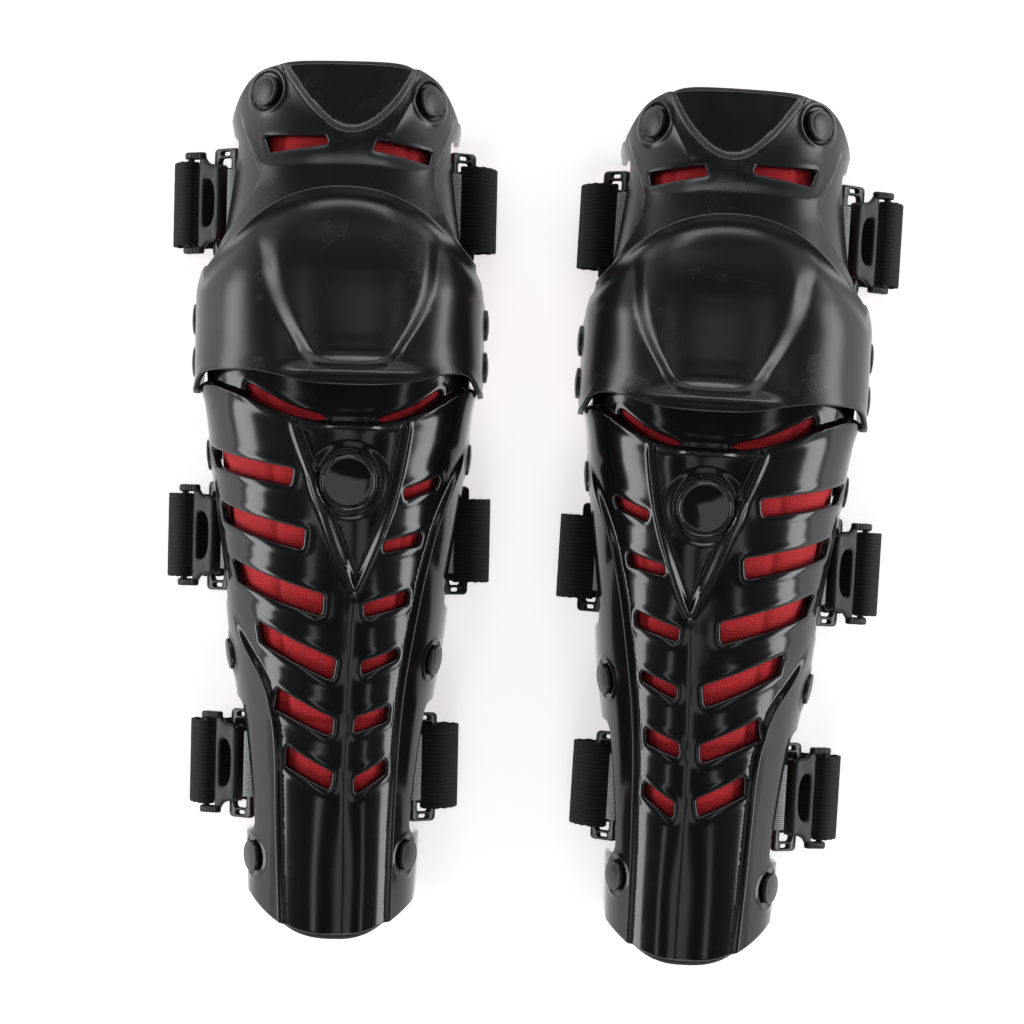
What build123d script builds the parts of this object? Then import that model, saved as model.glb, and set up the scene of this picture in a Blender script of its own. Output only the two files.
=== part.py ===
from build123d import *
import os

# A pair of hinged motocross knee and shin guards.
# Each guard is built once in its own frame and then used for both legs:
#   X across the leg (minus X is the buckle side), Y up the leg, Z out of the shin.
# The pair lies face up with the shell edges and the straps on z = 0.

os.makedirs("parts", exist_ok=True)

# ---------------------------------------------------------------- dimensions
shell = 2.5            # wall of every moulded shell
pad_gap = 4.9          # from a shell's outer face to its pad
pad_thick = 8.0        # foam liner

# half widths, crown heights, straight wall heights and crown offsets up the leg
thigh_a = [(92, 74.9), (108, 74.9), (116, 73.2), (124, 71.0), (134, 69.0), (150, 66.6), (168, 65.0), (200, 63.6), (215, 63.2), (240, 62.6)]
thigh_h = [(92, 112.6), (109, 113.0), (120, 112.5), (135, 109.5), (150, 105.3), (168, 99.6), (185, 93.5), (200, 88.5), (215, 84.6), (240, 80.0)]
thigh_w = [(92, 58.0), (109, 58.0), (120, 54.0), (150, 42.0), (180, 31.0), (200, 27.0), (240, 24.0)]
thigh_c = [(92, 7.0), (130, 6.5), (168, 5.5), (200, 4.6), (240, 4.0)]

cup_a = [(52, 78.0), (109, 78.0), (114, 77.6), (120, 76.5), (130, 74.3), (150, 71.5), (172, 69.3)]
cup_h = [(52, 104.5), (58, 107.5), (64, 110.8), (75, 117.0), (90, 120.0), (105, 120.0), (120, 118.0), (135, 114.0), (150, 109.5), (172, 103.0)]
cup_w = [(52, 58.0), (110, 58.0), (130, 54.0), (172, 45.0)]
cup_c = [(52, 8.0), (110, 7.5), (172, 6.5)]

shin_a = [(-240, 44.8), (-215, 46.0), (-177, 47.7), (-140, 50.5), (-105, 54.5), (-80, 58.5), (-45, 62.3), (-10, 66.4), (12, 68.8), (31, 70.5), (50, 72.4), (62, 74.3), (68, 74.9), (90, 74.9)]
shin_h = [(-240, 61.2), (-215, 63.2), (-177, 67.2), (-140, 72.0), (-105, 76.6), (-80, 80.2), (-45, 86.0), (-10, 92.5), (12, 96.5), (31, 99.6), (45, 101.0), (62, 101.8), (75, 102.0), (90, 101.0)]
shin_w = [(-240, 20.0), (-105, 23.0), (-45, 26.0), (-10, 31.0), (12, 36.0), (31, 42.0), (50, 50.0), (62, 56.0), (90, 57.0)]
shin_c = [(-240, 6.0), (-177, 7.0), (-80, 8.0), (90, 8.0)]

# pivots (Y, Z): thigh to cup, cup to shin
pivot_1 = (98.0, 45.0)
pivot_2 = (75.0, 42.0)
ear_r = 11.0
pin_r = 4.0
pin_hole_r = 4.3

# strap stations: Y, top of the side notch, height of the ring's outer bar
stations = {"upper": (163.0, 50.0, 32.0), "middle": (-20.0, 43.0, 27.0), "lower": (-145.0, 45.0, 29.0)}
notch_half = 37.0
ring_len, ring_bar, ring_thick, ring_pitch = 60.0, 4.2, 4.0, 12.7
strap_w, strap_t = 46.0, 2.0
tab_w = 36.0
tab_inset = 6.6

# vents in the shin shell, seen from the front (X, Y)
shin_vents = [
    [(-69.4, 29.3), (-21.4, 16.9), (-23.0, 7.6), (-65.8, 17.5)],
    [(-63.1, -1.1), (-14.9, -15.3), (-16.3, -26.5), (-61.2, -12.0)],
    [(-56.7, -31.3), (-4.6, -50.1), (-5.3, -62.0), (-52.4, -44.9)],
    [(-41.5, -65.3), (2.7, -84.9), (0.9, -96.7), (-40.2, -77.1)],
    [(-30.7, -101.4), (1.6, -117.1), (0.9, -127.0), (-31.5, -113.2)],
    [(-24.6, -132.8), (1.8, -146.6), (0.2, -156.4), (-25.4, -143.9)],
    [(59.0, 15.6), (38.2, 7.0), (39.0, 1.1), (55.9, 7.6)],
    [(49.1, -15.6), (28.3, -21.2), (27.1, -27.4), (47.3, -23.2)],
    [(42.6, -47.1), (17.8, -54.7), (18.0, -62.0), (41.5, -55.4)],
    [(37.6, -79.0), (17.1, -86.3), (16.6, -93.5), (36.2, -84.9)],
    [(32.7, -109.9), (13.9, -116.5), (12.7, -125.0), (31.9, -118.4)],
    [(31.4, -139.3), (13.8, -149.2), (14.0, -158.4), (31.6, -147.2)],
]
thigh_vents = [
    [(-41.5, 196.2), (-7.9, 195.7), (-6.2, 190.8), (-38.1, 186.4)],
    [(19.7, 194.0), (48.6, 189.2), (47.1, 181.6), (17.7, 188.1)],
]
knee_slots = [
    [(-49.1, 63.4), (-38.6, 56.9), (-23.3, 49.9), (-4.2, 45.5), (-5.2, 41.7), (-23.2, 45.0), (-38.5, 50.5), (-50.5, 58.0)],
    [(24.6, 41.7), (24.5, 45.0), (41.7, 49.9), (52.4, 56.4), (58.4, 61.0), (60.1, 57.0), (47.2, 48.8), (36.0, 44.0)],
]
badge_xy, badge_r = (8.4, 10.8), 15.5

shin_caps = [(-70.0, 24.5), (71.0, 24.5), (-56.8, -84.6), (54.4, -85.6), (-42.5, -195.0), (42.0, -192.5)]
thigh_caps = [(-41.5, 221.0), (47.5, 217.0)]
cap_r, cap_h, cap_pin_r = 8.5, 2.6, 3.0

# where the two guards lie
right_place = Location((-108.67, 7.29, 0), (0, 0, -1.2))
left_place = Location((97.63, -7.51, 0), (0, 0, -3.6))


# ---------------------------------------------------------------- shape
def at(table, y):
    """A smooth value from a table of (y, value)."""
    t = sorted(table)
    if y <= t[0][0]:
        return t[0][1]
    if y >= t[-1][0]:
        return t[-1][1]
    n = len(t)
    d = [(t[i + 1][1] - t[i][1]) / (t[i + 1][0] - t[i][0]) for i in range(n - 1)]
    m = [d[0]] + [0.0 if d[i - 1] * d[i] <= 0 else 2 * d[i - 1] * d[i] / (d[i - 1] + d[i]) for i in range(1, n - 1)] + [d[-1]]
    for i in range(n - 1):
        if y <= t[i + 1][0]:
            h = t[i + 1][0] - t[i][0]
            s = (y - t[i][0]) / h
            return (
                (2 * s**3 - 3 * s**2 + 1) * t[i][1]
                + (s**3 - 2 * s**2 + s) * h * m[i]
                + (-2 * s**3 + 3 * s**2) * t[i + 1][1]
                + (s**3 - s**2) * h * m[i + 1]
            )


class Arch:
    """The outer face of a shell: straight side walls under a rounded arch."""

    def __init__(self, a, h, w, c, power=2.2):
        self.a, self.h, self.w, self.c, self.k = a, h, w, c, 2 / power

    def values(self, y, inset=0.0):
        return at(self.a, y) - inset, at(self.h, y) - inset, at(self.w, y), at(self.c, y)

    def point(self, y, t, inset=0.0):
        """t is -1 at the left wall's top, 0 at the crown, 1 at the right wall's top."""
        a, h, w, c = self.values(y, inset)
        ang = (1 - abs(t)) * 1.5707963267948966
        from_crown = cos_(ang) ** self.k
        side = (a + c) if t < 0 else (a - c)
        return (c + (from_crown * side if t > 0 else -from_crown * side), w + (h - w) * sin_(ang) ** self.k)

    def height(self, x, y, inset=0.0):
        a, h, w, c = self.values(y, inset)
        side = (a + c) if x < c else (a - c)
        u = min(1.0, abs(x - c) / side)
        return w + (h - w) * (1 - u ** (2 / self.k)) ** (self.k / 2)

    def seat(self, x, y, z=None):
        """A plane on the outer face at (x, y); z is given on a straight wall."""
        a, h, w, c = self.values(y)
        if z is not None:
            side = -1 if x < 0 else 1
            return Plane(origin=(side * a, y, z), x_dir=(0, 1, 0), z_dir=(side, -side * (at(self.a, y + 1) - at(self.a, y - 1)) / 2 * side, 0))
        e = 0.3
        dzdx = (self.height(x + e, y) - self.height(x - e, y)) / (2 * e)
        dzdy = (self.height(x, y + e) - self.height(x, y - e)) / (2 * e)
        return Plane(origin=(x, y, self.height(x, y)), x_dir=(1, 0, dzdx), z_dir=(-dzdx, -dzdy, 1))


def cos_(v):
    from math import cos

    return max(0.0, cos(v))


def sin_(v):
    from math import sin

    return max(0.0, sin(v))


thigh = Arch(thigh_a, thigh_h, thigh_w, thigh_c)
cup = Arch(cup_a, cup_h, cup_w, cup_c)
shin = Arch(shin_a, shin_h, shin_w, shin_c)


def band(arch, y, outer, inner, foot):
    """Draws one closed C-shaped section in the current sketch, between two insets."""
    steps = [-1 + i / 8 for i in range(17)]
    ao, ho, w, c = arch.values(y, outer)
    ai, hi, w, c = arch.values(y, inner)
    with BuildLine() as outline:
        Line((-ao, foot), (-ao, w))
        Spline(*[arch.point(y, t, outer) for t in steps])
        Line((ao, w), (ao, foot))
        Line((ao, foot), (ai, foot))
        Line((ai, foot), (ai, w))
        Spline(*[arch.point(y, t, inner) for t in reversed(steps)])
        Line((-ai, w), (-ai, foot))
        Line((-ai, foot), (-ao, foot))
    make_face(outline.line.edges())


def plan_cut(points, low):
    """Cuts a polygon seen from the front through the current part, above a height."""
    with BuildSketch(Plane.XY.offset(low)) as cutter:
        with BuildLine():
            Polyline(*points, close=True)
        make_face()
    extrude(cutter.sketch, amount=160, mode=Mode.SUBTRACT)


def side_cut(points):
    """Cuts a polygon seen from the side (Y, Z) right across the current part."""
    with BuildSketch(Plane.YZ) as cutter:
        with BuildLine():
            Polyline(*points, close=True)
        make_face()
    extrude(cutter.sketch, amount=120, both=True, mode=Mode.SUBTRACT)


def cap_pocket(arch, x, y, z=None):
    """A flat seat and a pin hole for one rivet cap in the current shell."""
    seat = arch.seat(x, y, z)
    with BuildSketch(seat.offset(-0.7)) as shape_1:
        Circle(cap_r + 0.8)
    extrude(shape_1.sketch, amount=6, mode=Mode.SUBTRACT)
    with BuildSketch(seat) as shape_2:
        Circle(cap_pin_r + 0.15)
    extrude(shape_2.sketch, amount=12, both=True, mode=Mode.SUBTRACT)


wall_z = {0: 36.0, 1: 36.0}     # the top pair of shin caps is on the straight wall


# ---------------------------------------------------------------- shells
with BuildPart() as shin_shell:
    for y in (-240, -215, -190, -160, -130, -105, -80, -45, -10, 12, 31, 50, 62, 68, 84):
        with BuildSketch(Plane.XZ.offset(-y)):
            band(shin, y, 0, shell, 0)
    loft()
    # rounded lower end
    end = [(-60, -250)] + [(x, -235.5 + 20 * (abs(x - 2) / 47) ** 2.6) for x in range(-48, 51, 4)] + [(60, -250)]
    plan_cut(end, -10)
    # the side walls run up into a round ear at the lower pivot
    side_cut([(38, -5), (66.0, 34.5), (75.0, 31.2), (83.0, 34.5), (86, 42), (84.5, 50), (84.5, 58), (95, 58), (95, -5)])
    for q in stations:
        if q != "upper":
            ys, top, zs = stations[q]
            side_cut([(ys - notch_half, -5), (ys - notch_half + 1, top - 5), (ys - notch_half + 6, top), (ys + notch_half - 6, top), (ys + notch_half - 1, top - 5), (ys + notch_half, -5)])
    for v in shin_vents:
        low = min(shin.height(x, y, shell) for x, y in v) - 7
        plan_cut(v, max(low, 30))
    for v in knee_slots:
        plan_cut(v, 60)
    with BuildSketch(Plane.YZ):
        with Locations(pivot_2):
            Circle(pin_hole_r)
    extrude(amount=120, both=True, mode=Mode.SUBTRACT)
    for i, (x, y) in enumerate(shin_caps):
        cap_pocket(shin, x, y, wall_z.get(i))
    # round seat for the badge
    badge_seat = shin.seat(badge_xy[0], badge_xy[1])
    with BuildSketch(badge_seat.offset(-2.3)):
        Circle(badge_r + 2.6)
    extrude(amount=2.9)
    with BuildSketch(badge_seat.offset(-1.2)):
        Circle(badge_r + 0.15)
    extrude(amount=5, mode=Mode.SUBTRACT)

with BuildPart() as shin_badge:
    with BuildSketch(badge_seat.offset(-1.2)):
        Circle(badge_r)
    extrude(amount=2.2)
    chamfer(shin_badge.edges().sort_by(Axis.Z)[-1], 0.7)

with BuildPart() as thigh_shell:
    for y in (92, 108, 116, 124, 134, 150, 168, 185, 200, 215, 240):
        with BuildSketch(Plane.XZ.offset(-y)):
            band(thigh, y, 0, shell, 0)
    loft()
    # rounded top corners
    top = [(-75, 250), (-75, 205), (-64.6, 206)] + [(x, 236.0 - 30 * (abs(x) / 64) ** 7 - 2.2 * (abs(x) / 64) ** 2) for x in range(-62, 63, 4)] + [(64.6, 206), (75, 205), (75, 250)]
    plan_cut(top, -10)
    # ear at the upper pivot, and the arch ends under the cup
    side_cut([(140, -5), (138, 0), (106.5, 37.6), (98.0, 34.2), (90.2, 37.5), (87, 45), (89.0, 51.5), (96, 56.2), (112, 61), (112, 130), (80, 130), (80, -5)])
    ys, top_z, zs = stations["upper"]
    side_cut([(ys - notch_half, -5), (ys - notch_half + 1, top_z - 5), (ys - notch_half + 6, top_z), (ys + notch_half - 6, top_z), (ys + notch_half - 1, top_z - 5), (ys + notch_half, -5)])
    for v in thigh_vents:
        plan_cut(v, 45)
    with BuildSketch(Plane.YZ):
        with Locations(pivot_1):
            Circle(pin_hole_r)
    extrude(amount=120, both=True, mode=Mode.SUBTRACT)
    for x, y in thigh_caps:
        cap_pocket(thigh, x, y)

with BuildPart() as knee_cup:
    for y in (52, 58, 64, 75, 90, 105, 114, 120, 130, 150, 172):
        with BuildSketch(Plane.XZ.offset(-y)):
            band(cup, y, 0, shell, 10)
    loft()
    upper_edge = [(x, 168.0 - 40 * (abs(x - 3) / 72) ** 2.2) for x in range(-78, 81, 6)]
    plan_cut([(-95, 200), (-95, 118)] + upper_edge + [(95, 118), (95, 200)], -10)
    plan_cut([(-95, 40), (-95, 57), (-79, 59), (-72, 69), (-45, 69), (-27, 65.5), (-14, 62.4), (0, 61.8), (28, 61.8), (42, 63.2), (54, 67.5), (70, 69), (79, 57), (95, 57), (95, 40)], -10)
    side_cut([(40, 0), (40, 70), (57, 58), (60, 36), (68, 27), (80, 24.5), (96, 27), (110, 35), (119, 50), (128, 66), (140, 74), (185, 74), (185, 0)])
    for p in (pivot_1, pivot_2):
        with BuildSketch(Plane.YZ):
            with Locations(p):
                Circle(pin_r)
        extrude(amount=120, both=True, mode=Mode.SUBTRACT)


def pivot_pair(p):
    """Draws both rivets of one pivot axis in the current part."""
    for s in (-1, 1):
        side = Plane(origin=(s * 78.0, p[0], p[1]), x_dir=(0, 1, 0), z_dir=(s, 0, 0))
        with BuildSketch(side.offset(0.05)) as shape_1:
            Circle(8.5)
        extrude(shape_1.sketch, amount=1.6)
        with BuildSketch(side.offset(1.65)) as shape_2:
            Circle(8.5)
        extrude(shape_2.sketch, amount=1.4, taper=35)
        with BuildSketch(side.offset(0.05)) as shape_3:
            Circle(pin_r)
        extrude(shape_3.sketch, amount=-8.35)
        with BuildSketch(side.offset(-6.1)) as shape_4:
            Circle(7.0)
        extrude(shape_4.sketch, amount=-2.2)


with BuildPart() as pivot_rivets_upper:
    pivot_pair(pivot_1)

with BuildPart() as pivot_rivets_lower:
    pivot_pair(pivot_2)


# ---------------------------------------------------------------- rivet caps
def caps(arch, places):
    for x, y, z in places:
        seat = arch.seat(x, y, z)
        with BuildSketch(seat.offset(-0.7)) as shape_1:
            Circle(cap_r)
        extrude(shape_1.sketch, amount=cap_h)
        with BuildSketch(seat.offset(-0.7 + cap_h)) as shape_2:
            Circle(cap_r)
        extrude(shape_2.sketch, amount=0.9, taper=45)
        with BuildSketch(seat.offset(-0.7)) as shape_3:
            Circle(cap_pin_r)
        extrude(shape_3.sketch, amount=-3.8)


def washers(arch, places):
    for x, y, z in places:
        seat = arch.seat(x, y, z)
        with BuildSketch(seat.offset(-4.45)) as shape_1:
            Circle(5.2)
            Circle(cap_pin_r + 0.05, mode=Mode.SUBTRACT)
        extrude(shape_1.sketch, amount=1.0)


shin_places = [(x, y, wall_z.get(i)) for i, (x, y) in enumerate(shin_caps)]
thigh_places = [(x, y, None) for x, y in thigh_caps]

with BuildPart() as shin_rivet_caps:
    caps(shin, shin_places)

with BuildPart() as thigh_rivet_caps:
    caps(thigh, thigh_places)

with BuildPart() as shin_rivet_washers:
    washers(shin, shin_places)

with BuildPart() as thigh_rivet_washers:
    washers(thigh, thigh_places)

# ---------------------------------------------------------------- pads


def wall_x(arch, y, z, inset):
    """The half width of a shell's face at one height, on the narrower side."""
    a, h, w, c = arch.values(y, inset)
    if z <= w:
        return a
    v = min(1.0, (z - w) / (h - w))
    return (a - c) * (1 - v ** (2 / arch.k)) ** (arch.k / 2) + c


def wall_x_left(arch, y, z, inset):
    a, h, w, c = arch.values(y, inset)
    if z <= w:
        return a
    v = min(1.0, (z - w) / (h - w))
    return (a + c) * (1 - v ** (2 / arch.k)) ** (arch.k / 2) - c


def half_width(q):
    ys = stations[q][0]
    return at(thigh_a if q == "upper" else shin_a, ys)


def bar_1(q):
    return (-(half_width(q) - 5.5), stations[q][2] + 8.0)


def bar_2(q):
    return (-(half_width(q) - 5.5) - 9.9, stations[q][2])


def pad_dents(q, arch):
    """Room in the pad's outer face for the webbing tab and the ring."""
    ys, top, zs = stations[q]
    x, z = bar_1(q)
    high = top + 11
    for left in (True, False):
        reach_in = (wall_x_left if left else wall_x)(arch, ys, high, 8.4)
        low_in = min(abs(x) - 5.6, (wall_x_left if left else wall_x)(arch, ys, top - 2, 8.4))
        s = -1 if left else 1
        with BuildSketch(Plane.XZ.offset(-ys)) as dent:
            with BuildLine():
                Polyline((s * 120, high), (s * reach_in, high), (s * low_in, top - 2), (s * low_in, z - 14), (s * 120, z - 14), close=True)
            make_face()
        extrude(dent.sketch, amount=ring_len / 2 + 2, both=True, mode=Mode.SUBTRACT)


with BuildPart() as shin_pad:
    for y in (-243, -215, -177, -140, -105, -80, -45, -10, 12, 31, 50, 62, 80):
        with BuildSketch(Plane.XZ.offset(-y)):
            band(shin, y, pad_gap, pad_gap + pad_thick, 5)
    loft(ruled=True)
    side_cut([(20, -5), (50, 34), (56, 62), (90, 70), (90, -5)])
    end = [(-60, -260)] + [(x, -240.0 + 20 * (abs(x - 2) / 47) ** 2.6) for x in range(-48, 51, 4)] + [(60, -260)]
    plan_cut(end, -10)
    pad_dents("middle", shin)
    pad_dents("lower", shin)

with BuildPart() as thigh_pad:
    for y in (116, 124, 134, 150, 168, 185, 200, 215, 242):
        with BuildSketch(Plane.XZ.offset(-y)):
            band(thigh, y, pad_gap, pad_gap + pad_thick, 5)
    loft(ruled=True)
    side_cut([(162, -5), (126, 40), (120, 62), (100, 70), (100, -5)])
    top = [(-75, 255), (-75, 206), (-62, 208)] + [(x, 239.5 - 32 * (abs(x) / 60) ** 7) for x in range(-58, 59, 4)] + [(62, 208), (75, 206), (75, 255)]
    plan_cut(top, -10)
    pad_dents("upper", thigh)

with BuildPart() as knee_pad:
    for y in (85, 90, 98, 105, 111):
        with BuildSketch(Plane.XZ.offset(-y)):
            band(cup, y, shell + 1.3, shell + 14.5, 40)
    loft(ruled=True)
    side_cut([(70, 0), (70, 68), (130, 68), (130, 0)])

# ---------------------------------------------------------------- strap hardware
rise = 30.0          # slope of the hook buckle
reach = 15.0         # from the slot bar to the ring's outer bar
stand = 5.0          # ring bar below the buckle plate


def buckle_plane(q, y_here):
    """A sketch plane in a buckle's section: x from the slot bar to the hook, y off the plate."""
    from math import cos, sin, radians

    c, s = cos(radians(rise)), sin(radians(rise))
    x2, z2 = bar_2(q)
    sx, sz = x2 - reach * c - stand * s, z2 - reach * s + stand * c
    return Plane(origin=(sx, y_here, sz), x_dir=(c, 0, s), z_dir=(0, -1, 0)), (sx, sz)


def ring(q, s):
    """A moulded ring loop; s is -1 on the buckle side."""
    x1, z1 = bar_1(q)
    x2, z2 = bar_2(q)
    ys = stations[q][0]
    mid = (s * abs(x1 + x2) / 2, ys, (z1 + z2) / 2)
    along = (s * abs(x2 - x1), 0, z2 - z1)
    flat = Plane(origin=mid, x_dir=(0, 1, 0), z_dir=(-along[2], 0, along[0]))
    with BuildSketch(flat) as shape_1:
        RectangleRounded(ring_len, ring_pitch + ring_bar, 2.0)
        RectangleRounded(ring_len - 11, ring_pitch - ring_bar, 1.5, mode=Mode.SUBTRACT)
        with Locations((-ring_len / 2 + 2.9, 0), (ring_len / 2 - 2.9, 0)):
            SlotOverall(6.5, 2.2, rotation=90, mode=Mode.SUBTRACT)
    extrude(shape_1.sketch, amount=ring_thick / 2, both=True)


def tab(q, s, arch):
    """A webbing tab: up behind the shell wall, and round the ring's inner bar."""
    x1, z1 = bar_1(q)
    ys = stations[q][0]
    top = stations[q][1]
    leg = [(s * wall_x(arch, ys, z, tab_inset), z) for z in (top + 9, top + 5, top + 1)]
    with BuildSketch(Plane.XZ.offset(-ys)) as shape_1:
        with BuildLine():
            Polyline(*leg, (s * (abs(x1) - 3.6), z1 + 1.5))
        trace(line_width=1.5)
        with Locations((s * abs(x1), z1)):
            Circle(4.4)
            Circle(2.95, mode=Mode.SUBTRACT)
    extrude(shape_1.sketch, amount=tab_w / 2, both=True)


def tab_left(q, arch):
    x1, z1 = bar_1(q)
    ys = stations[q][0]
    top = stations[q][1]
    leg = [(-wall_x_left(arch, ys, z, tab_inset), z) for z in (top + 9, top + 5, top + 1)]
    with BuildSketch(Plane.XZ.offset(-ys)) as shape_1:
        with BuildLine():
            Polyline(*leg, (x1 + 3.6, z1 + 1.5))
        trace(line_width=1.5)
        with Locations((x1, z1)):
            Circle(4.4)
            Circle(2.95, mode=Mode.SUBTRACT)
    extrude(shape_1.sketch, amount=tab_w / 2, both=True)


with BuildPart() as thigh_webbing_tabs:
    tab_left("upper", thigh)
    tab("upper", 1, thigh)

with BuildPart() as shin_webbing_tabs:
    for q in ("middle", "lower"):
        tab_left(q, shin)
        tab(q, 1, shin)

rings = {}
for q in stations:
    for s, side in ((-1, "outer"), (1, "inner")):
        with BuildPart() as one_ring:
            ring(q, s)
        rings[q + "_" + side + "_ring"] = one_ring

buckles = {}
for q in stations:
    ys = stations[q][0]
    with BuildPart() as one_buckle:
        section, slot = buckle_plane(q, ys)
        # slot bar with its two ears
        with BuildSketch(section):
            Circle(1.9)
        extrude(amount=28, both=True)
        for e in (-1, 1):
            arm, slot = buckle_plane(q, ys + e * 26)
            with BuildSketch(arm):
                with Locations((3.0, 0.2)):
                    RectangleRounded(12.0, 4.4, 1.6)
            extrude(amount=2.0, both=True)
        # plate with the hook's lip
        with BuildSketch(section):
            with BuildLine():
                Polyline((6.4, -1.3), (17.9, -1.3), (17.9, -7.4), (20.3, -7.4), (20.3, -0.2), (18.9, 1.3), (6.4, 1.3), close=True)
            make_face()
        extrude(amount=21, both=True)
        with BuildSketch(section):
            with Locations((7.7, 0)):
                Rectangle(2.6, 2.6)
        extrude(amount=28, both=True)
        # window
        plate = Plane(origin=section.origin, x_dir=section.x_dir, z_dir=section.y_dir)
        with BuildSketch(plate):
            with Locations((12.6, 0)):
                RectangleRounded(6.4, 26, 2.6)
        extrude(amount=3, both=True, mode=Mode.SUBTRACT)
    buckles[q + "_hook_buckle"] = one_buckle

straps = {}
for q in stations:
    ys = stations[q][0]
    section, (sx, sz) = buckle_plane(q, ys)
    rx, rz = abs(bar_2(q)[0]), bar_2(q)[1]
    lo = strap_t / 2 + 0.05
    path = [
        (sx - 4.6, sz - 15.0), (sx - 2.6, sz - 8.0), (sx + 1.4, sz - 3.5), (sx + 3.5, sz - 0.2), (sx + 0.6, sz + 3.4), (sx - 3.2, sz + 1.6),
        (sx - 7.4, sz - 6.0), (sx - 9.6, sz - 14.5), (sx - 8.8, 6.2), (sx - 5.0, 2.3), (sx + 0.5, lo + 0.12), (sx + 7.0, lo),
    ]
    back = [
        (rx - 4.0, lo), (rx + 3.0, lo + 0.12), (rx + 8.6, 2.8), (rx + 12.0, 7.6), (rx + 13.0, rz - 16.5), (rx + 10.0, rz - 5.2), (rx + 4.7, rz + 3.5),
        (rx - 0.6, rz + 5.3), (rx - 5.2, rz + 0.6), (rx - 2.7, rz - 5.0), (rx + 3.4, rz - 9.4), (rx + 6.6, rz - 15.0),
    ]
    with BuildPart() as one_strap:
        with BuildSketch(Plane.XZ.offset(-ys)):
            with BuildLine():
                Spline(*path)
                Line(path[-1], back[0])
                Spline(*back)
            trace(line_width=strap_t)
        extrude(amount=strap_w / 2, both=True)
    straps[q + "_strap"] = one_strap

# ---------------------------------------------------------------- write both guards
pieces = {
    "shin_shell": shin_shell,
    "shin_badge": shin_badge,
    "shin_pad": shin_pad,
    "shin_rivet_caps": shin_rivet_caps,
    "shin_rivet_washers": shin_rivet_washers,
    "shin_webbing_tabs": shin_webbing_tabs,
    "knee_cup": knee_cup,
    "knee_pad": knee_pad,
    "pivot_rivets_upper": pivot_rivets_upper,
    "pivot_rivets_lower": pivot_rivets_lower,
    "thigh_shell": thigh_shell,
    "thigh_pad": thigh_pad,
    "thigh_rivet_caps": thigh_rivet_caps,
    "thigh_rivet_washers": thigh_rivet_washers,
    "thigh_webbing_tabs": thigh_webbing_tabs,
}
pieces.update(rings)
pieces.update(buckles)
pieces.update(straps)

for name, piece in pieces.items():
    own = piece.part
    for side, placed in (("right_", right_place * own), ("left_", left_place * mirror(own, about=Plane.YZ))):
        placed.label = side + name
        export_step(placed, "parts/" + side + name + ".step")
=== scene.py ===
import bpy, bmesh, math
import numpy as np
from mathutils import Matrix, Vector, kdtree
from mathutils.geometry import delaunay_2d_cdt


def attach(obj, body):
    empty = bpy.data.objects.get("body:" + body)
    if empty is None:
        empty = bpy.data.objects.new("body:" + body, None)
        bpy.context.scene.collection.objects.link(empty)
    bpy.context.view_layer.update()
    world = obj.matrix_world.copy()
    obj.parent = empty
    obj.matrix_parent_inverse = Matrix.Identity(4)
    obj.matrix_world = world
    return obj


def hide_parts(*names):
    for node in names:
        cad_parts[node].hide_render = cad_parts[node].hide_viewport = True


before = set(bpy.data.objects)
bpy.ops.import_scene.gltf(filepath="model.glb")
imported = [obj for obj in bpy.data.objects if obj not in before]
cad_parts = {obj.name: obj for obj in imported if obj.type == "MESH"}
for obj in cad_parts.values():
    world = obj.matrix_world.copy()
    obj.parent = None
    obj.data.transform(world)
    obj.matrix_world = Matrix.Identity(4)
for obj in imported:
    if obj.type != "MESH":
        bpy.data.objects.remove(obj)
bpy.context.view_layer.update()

HALF = math.pi / 2

# ---------------------------------------------------------------- the guard's own sizes (mm, as in the CAD)
thigh_a = [(92, 74.9), (108, 74.9), (116, 73.2), (124, 71.0), (134, 69.0), (150, 66.6), (168, 65.0), (200, 63.6), (215, 63.2), (240, 62.6)]
thigh_h = [(92, 112.6), (109, 113.0), (120, 112.5), (135, 109.5), (150, 105.3), (168, 99.6), (185, 93.5), (200, 88.5), (215, 84.6), (240, 80.0)]
thigh_w = [(92, 58.0), (109, 58.0), (120, 54.0), (150, 42.0), (180, 31.0), (200, 27.0), (240, 24.0)]
thigh_c = [(92, 7.0), (130, 6.5), (168, 5.5), (200, 4.6), (240, 4.0)]
cup_a = [(52, 78.0), (109, 78.0), (114, 77.6), (120, 76.5), (130, 74.3), (150, 71.5), (172, 69.3)]
cup_h = [(52, 104.5), (58, 107.5), (64, 110.8), (75, 117.0), (90, 120.0), (105, 120.0), (120, 118.0), (135, 114.0), (150, 109.5), (172, 103.0)]
cup_w = [(52, 58.0), (110, 58.0), (130, 54.0), (172, 45.0)]
cup_c = [(52, 8.0), (110, 7.5), (172, 6.5)]
shin_a = [(-240, 44.8), (-215, 46.0), (-177, 47.7), (-140, 50.5), (-105, 54.5), (-80, 58.5), (-45, 62.3), (-10, 66.4), (12, 68.8), (31, 70.5), (50, 72.4), (62, 74.3), (68, 74.9), (90, 74.9)]
shin_h = [(-240, 61.2), (-215, 63.2), (-177, 67.2), (-140, 72.0), (-105, 76.6), (-80, 80.2), (-45, 86.0), (-10, 92.5), (12, 96.5), (31, 99.6), (45, 101.0), (62, 101.8), (75, 102.0), (90, 101.0)]
shin_w = [(-240, 20.0), (-105, 23.0), (-45, 26.0), (-10, 31.0), (12, 36.0), (31, 42.0), (50, 50.0), (62, 56.0), (90, 57.0)]
shin_c = [(-240, 6.0), (-177, 7.0), (-80, 8.0), (90, 8.0)]
stations = {"upper": (163.0, 50.0, 32.0), "middle": (-20.0, 43.0, 27.0), "lower": (-145.0, 45.0, 29.0)}
NOTCH = 37.0
pivot_1, pivot_2 = (98.0, 45.0), (75.0, 42.0)
SHELL = 2.5
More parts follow.
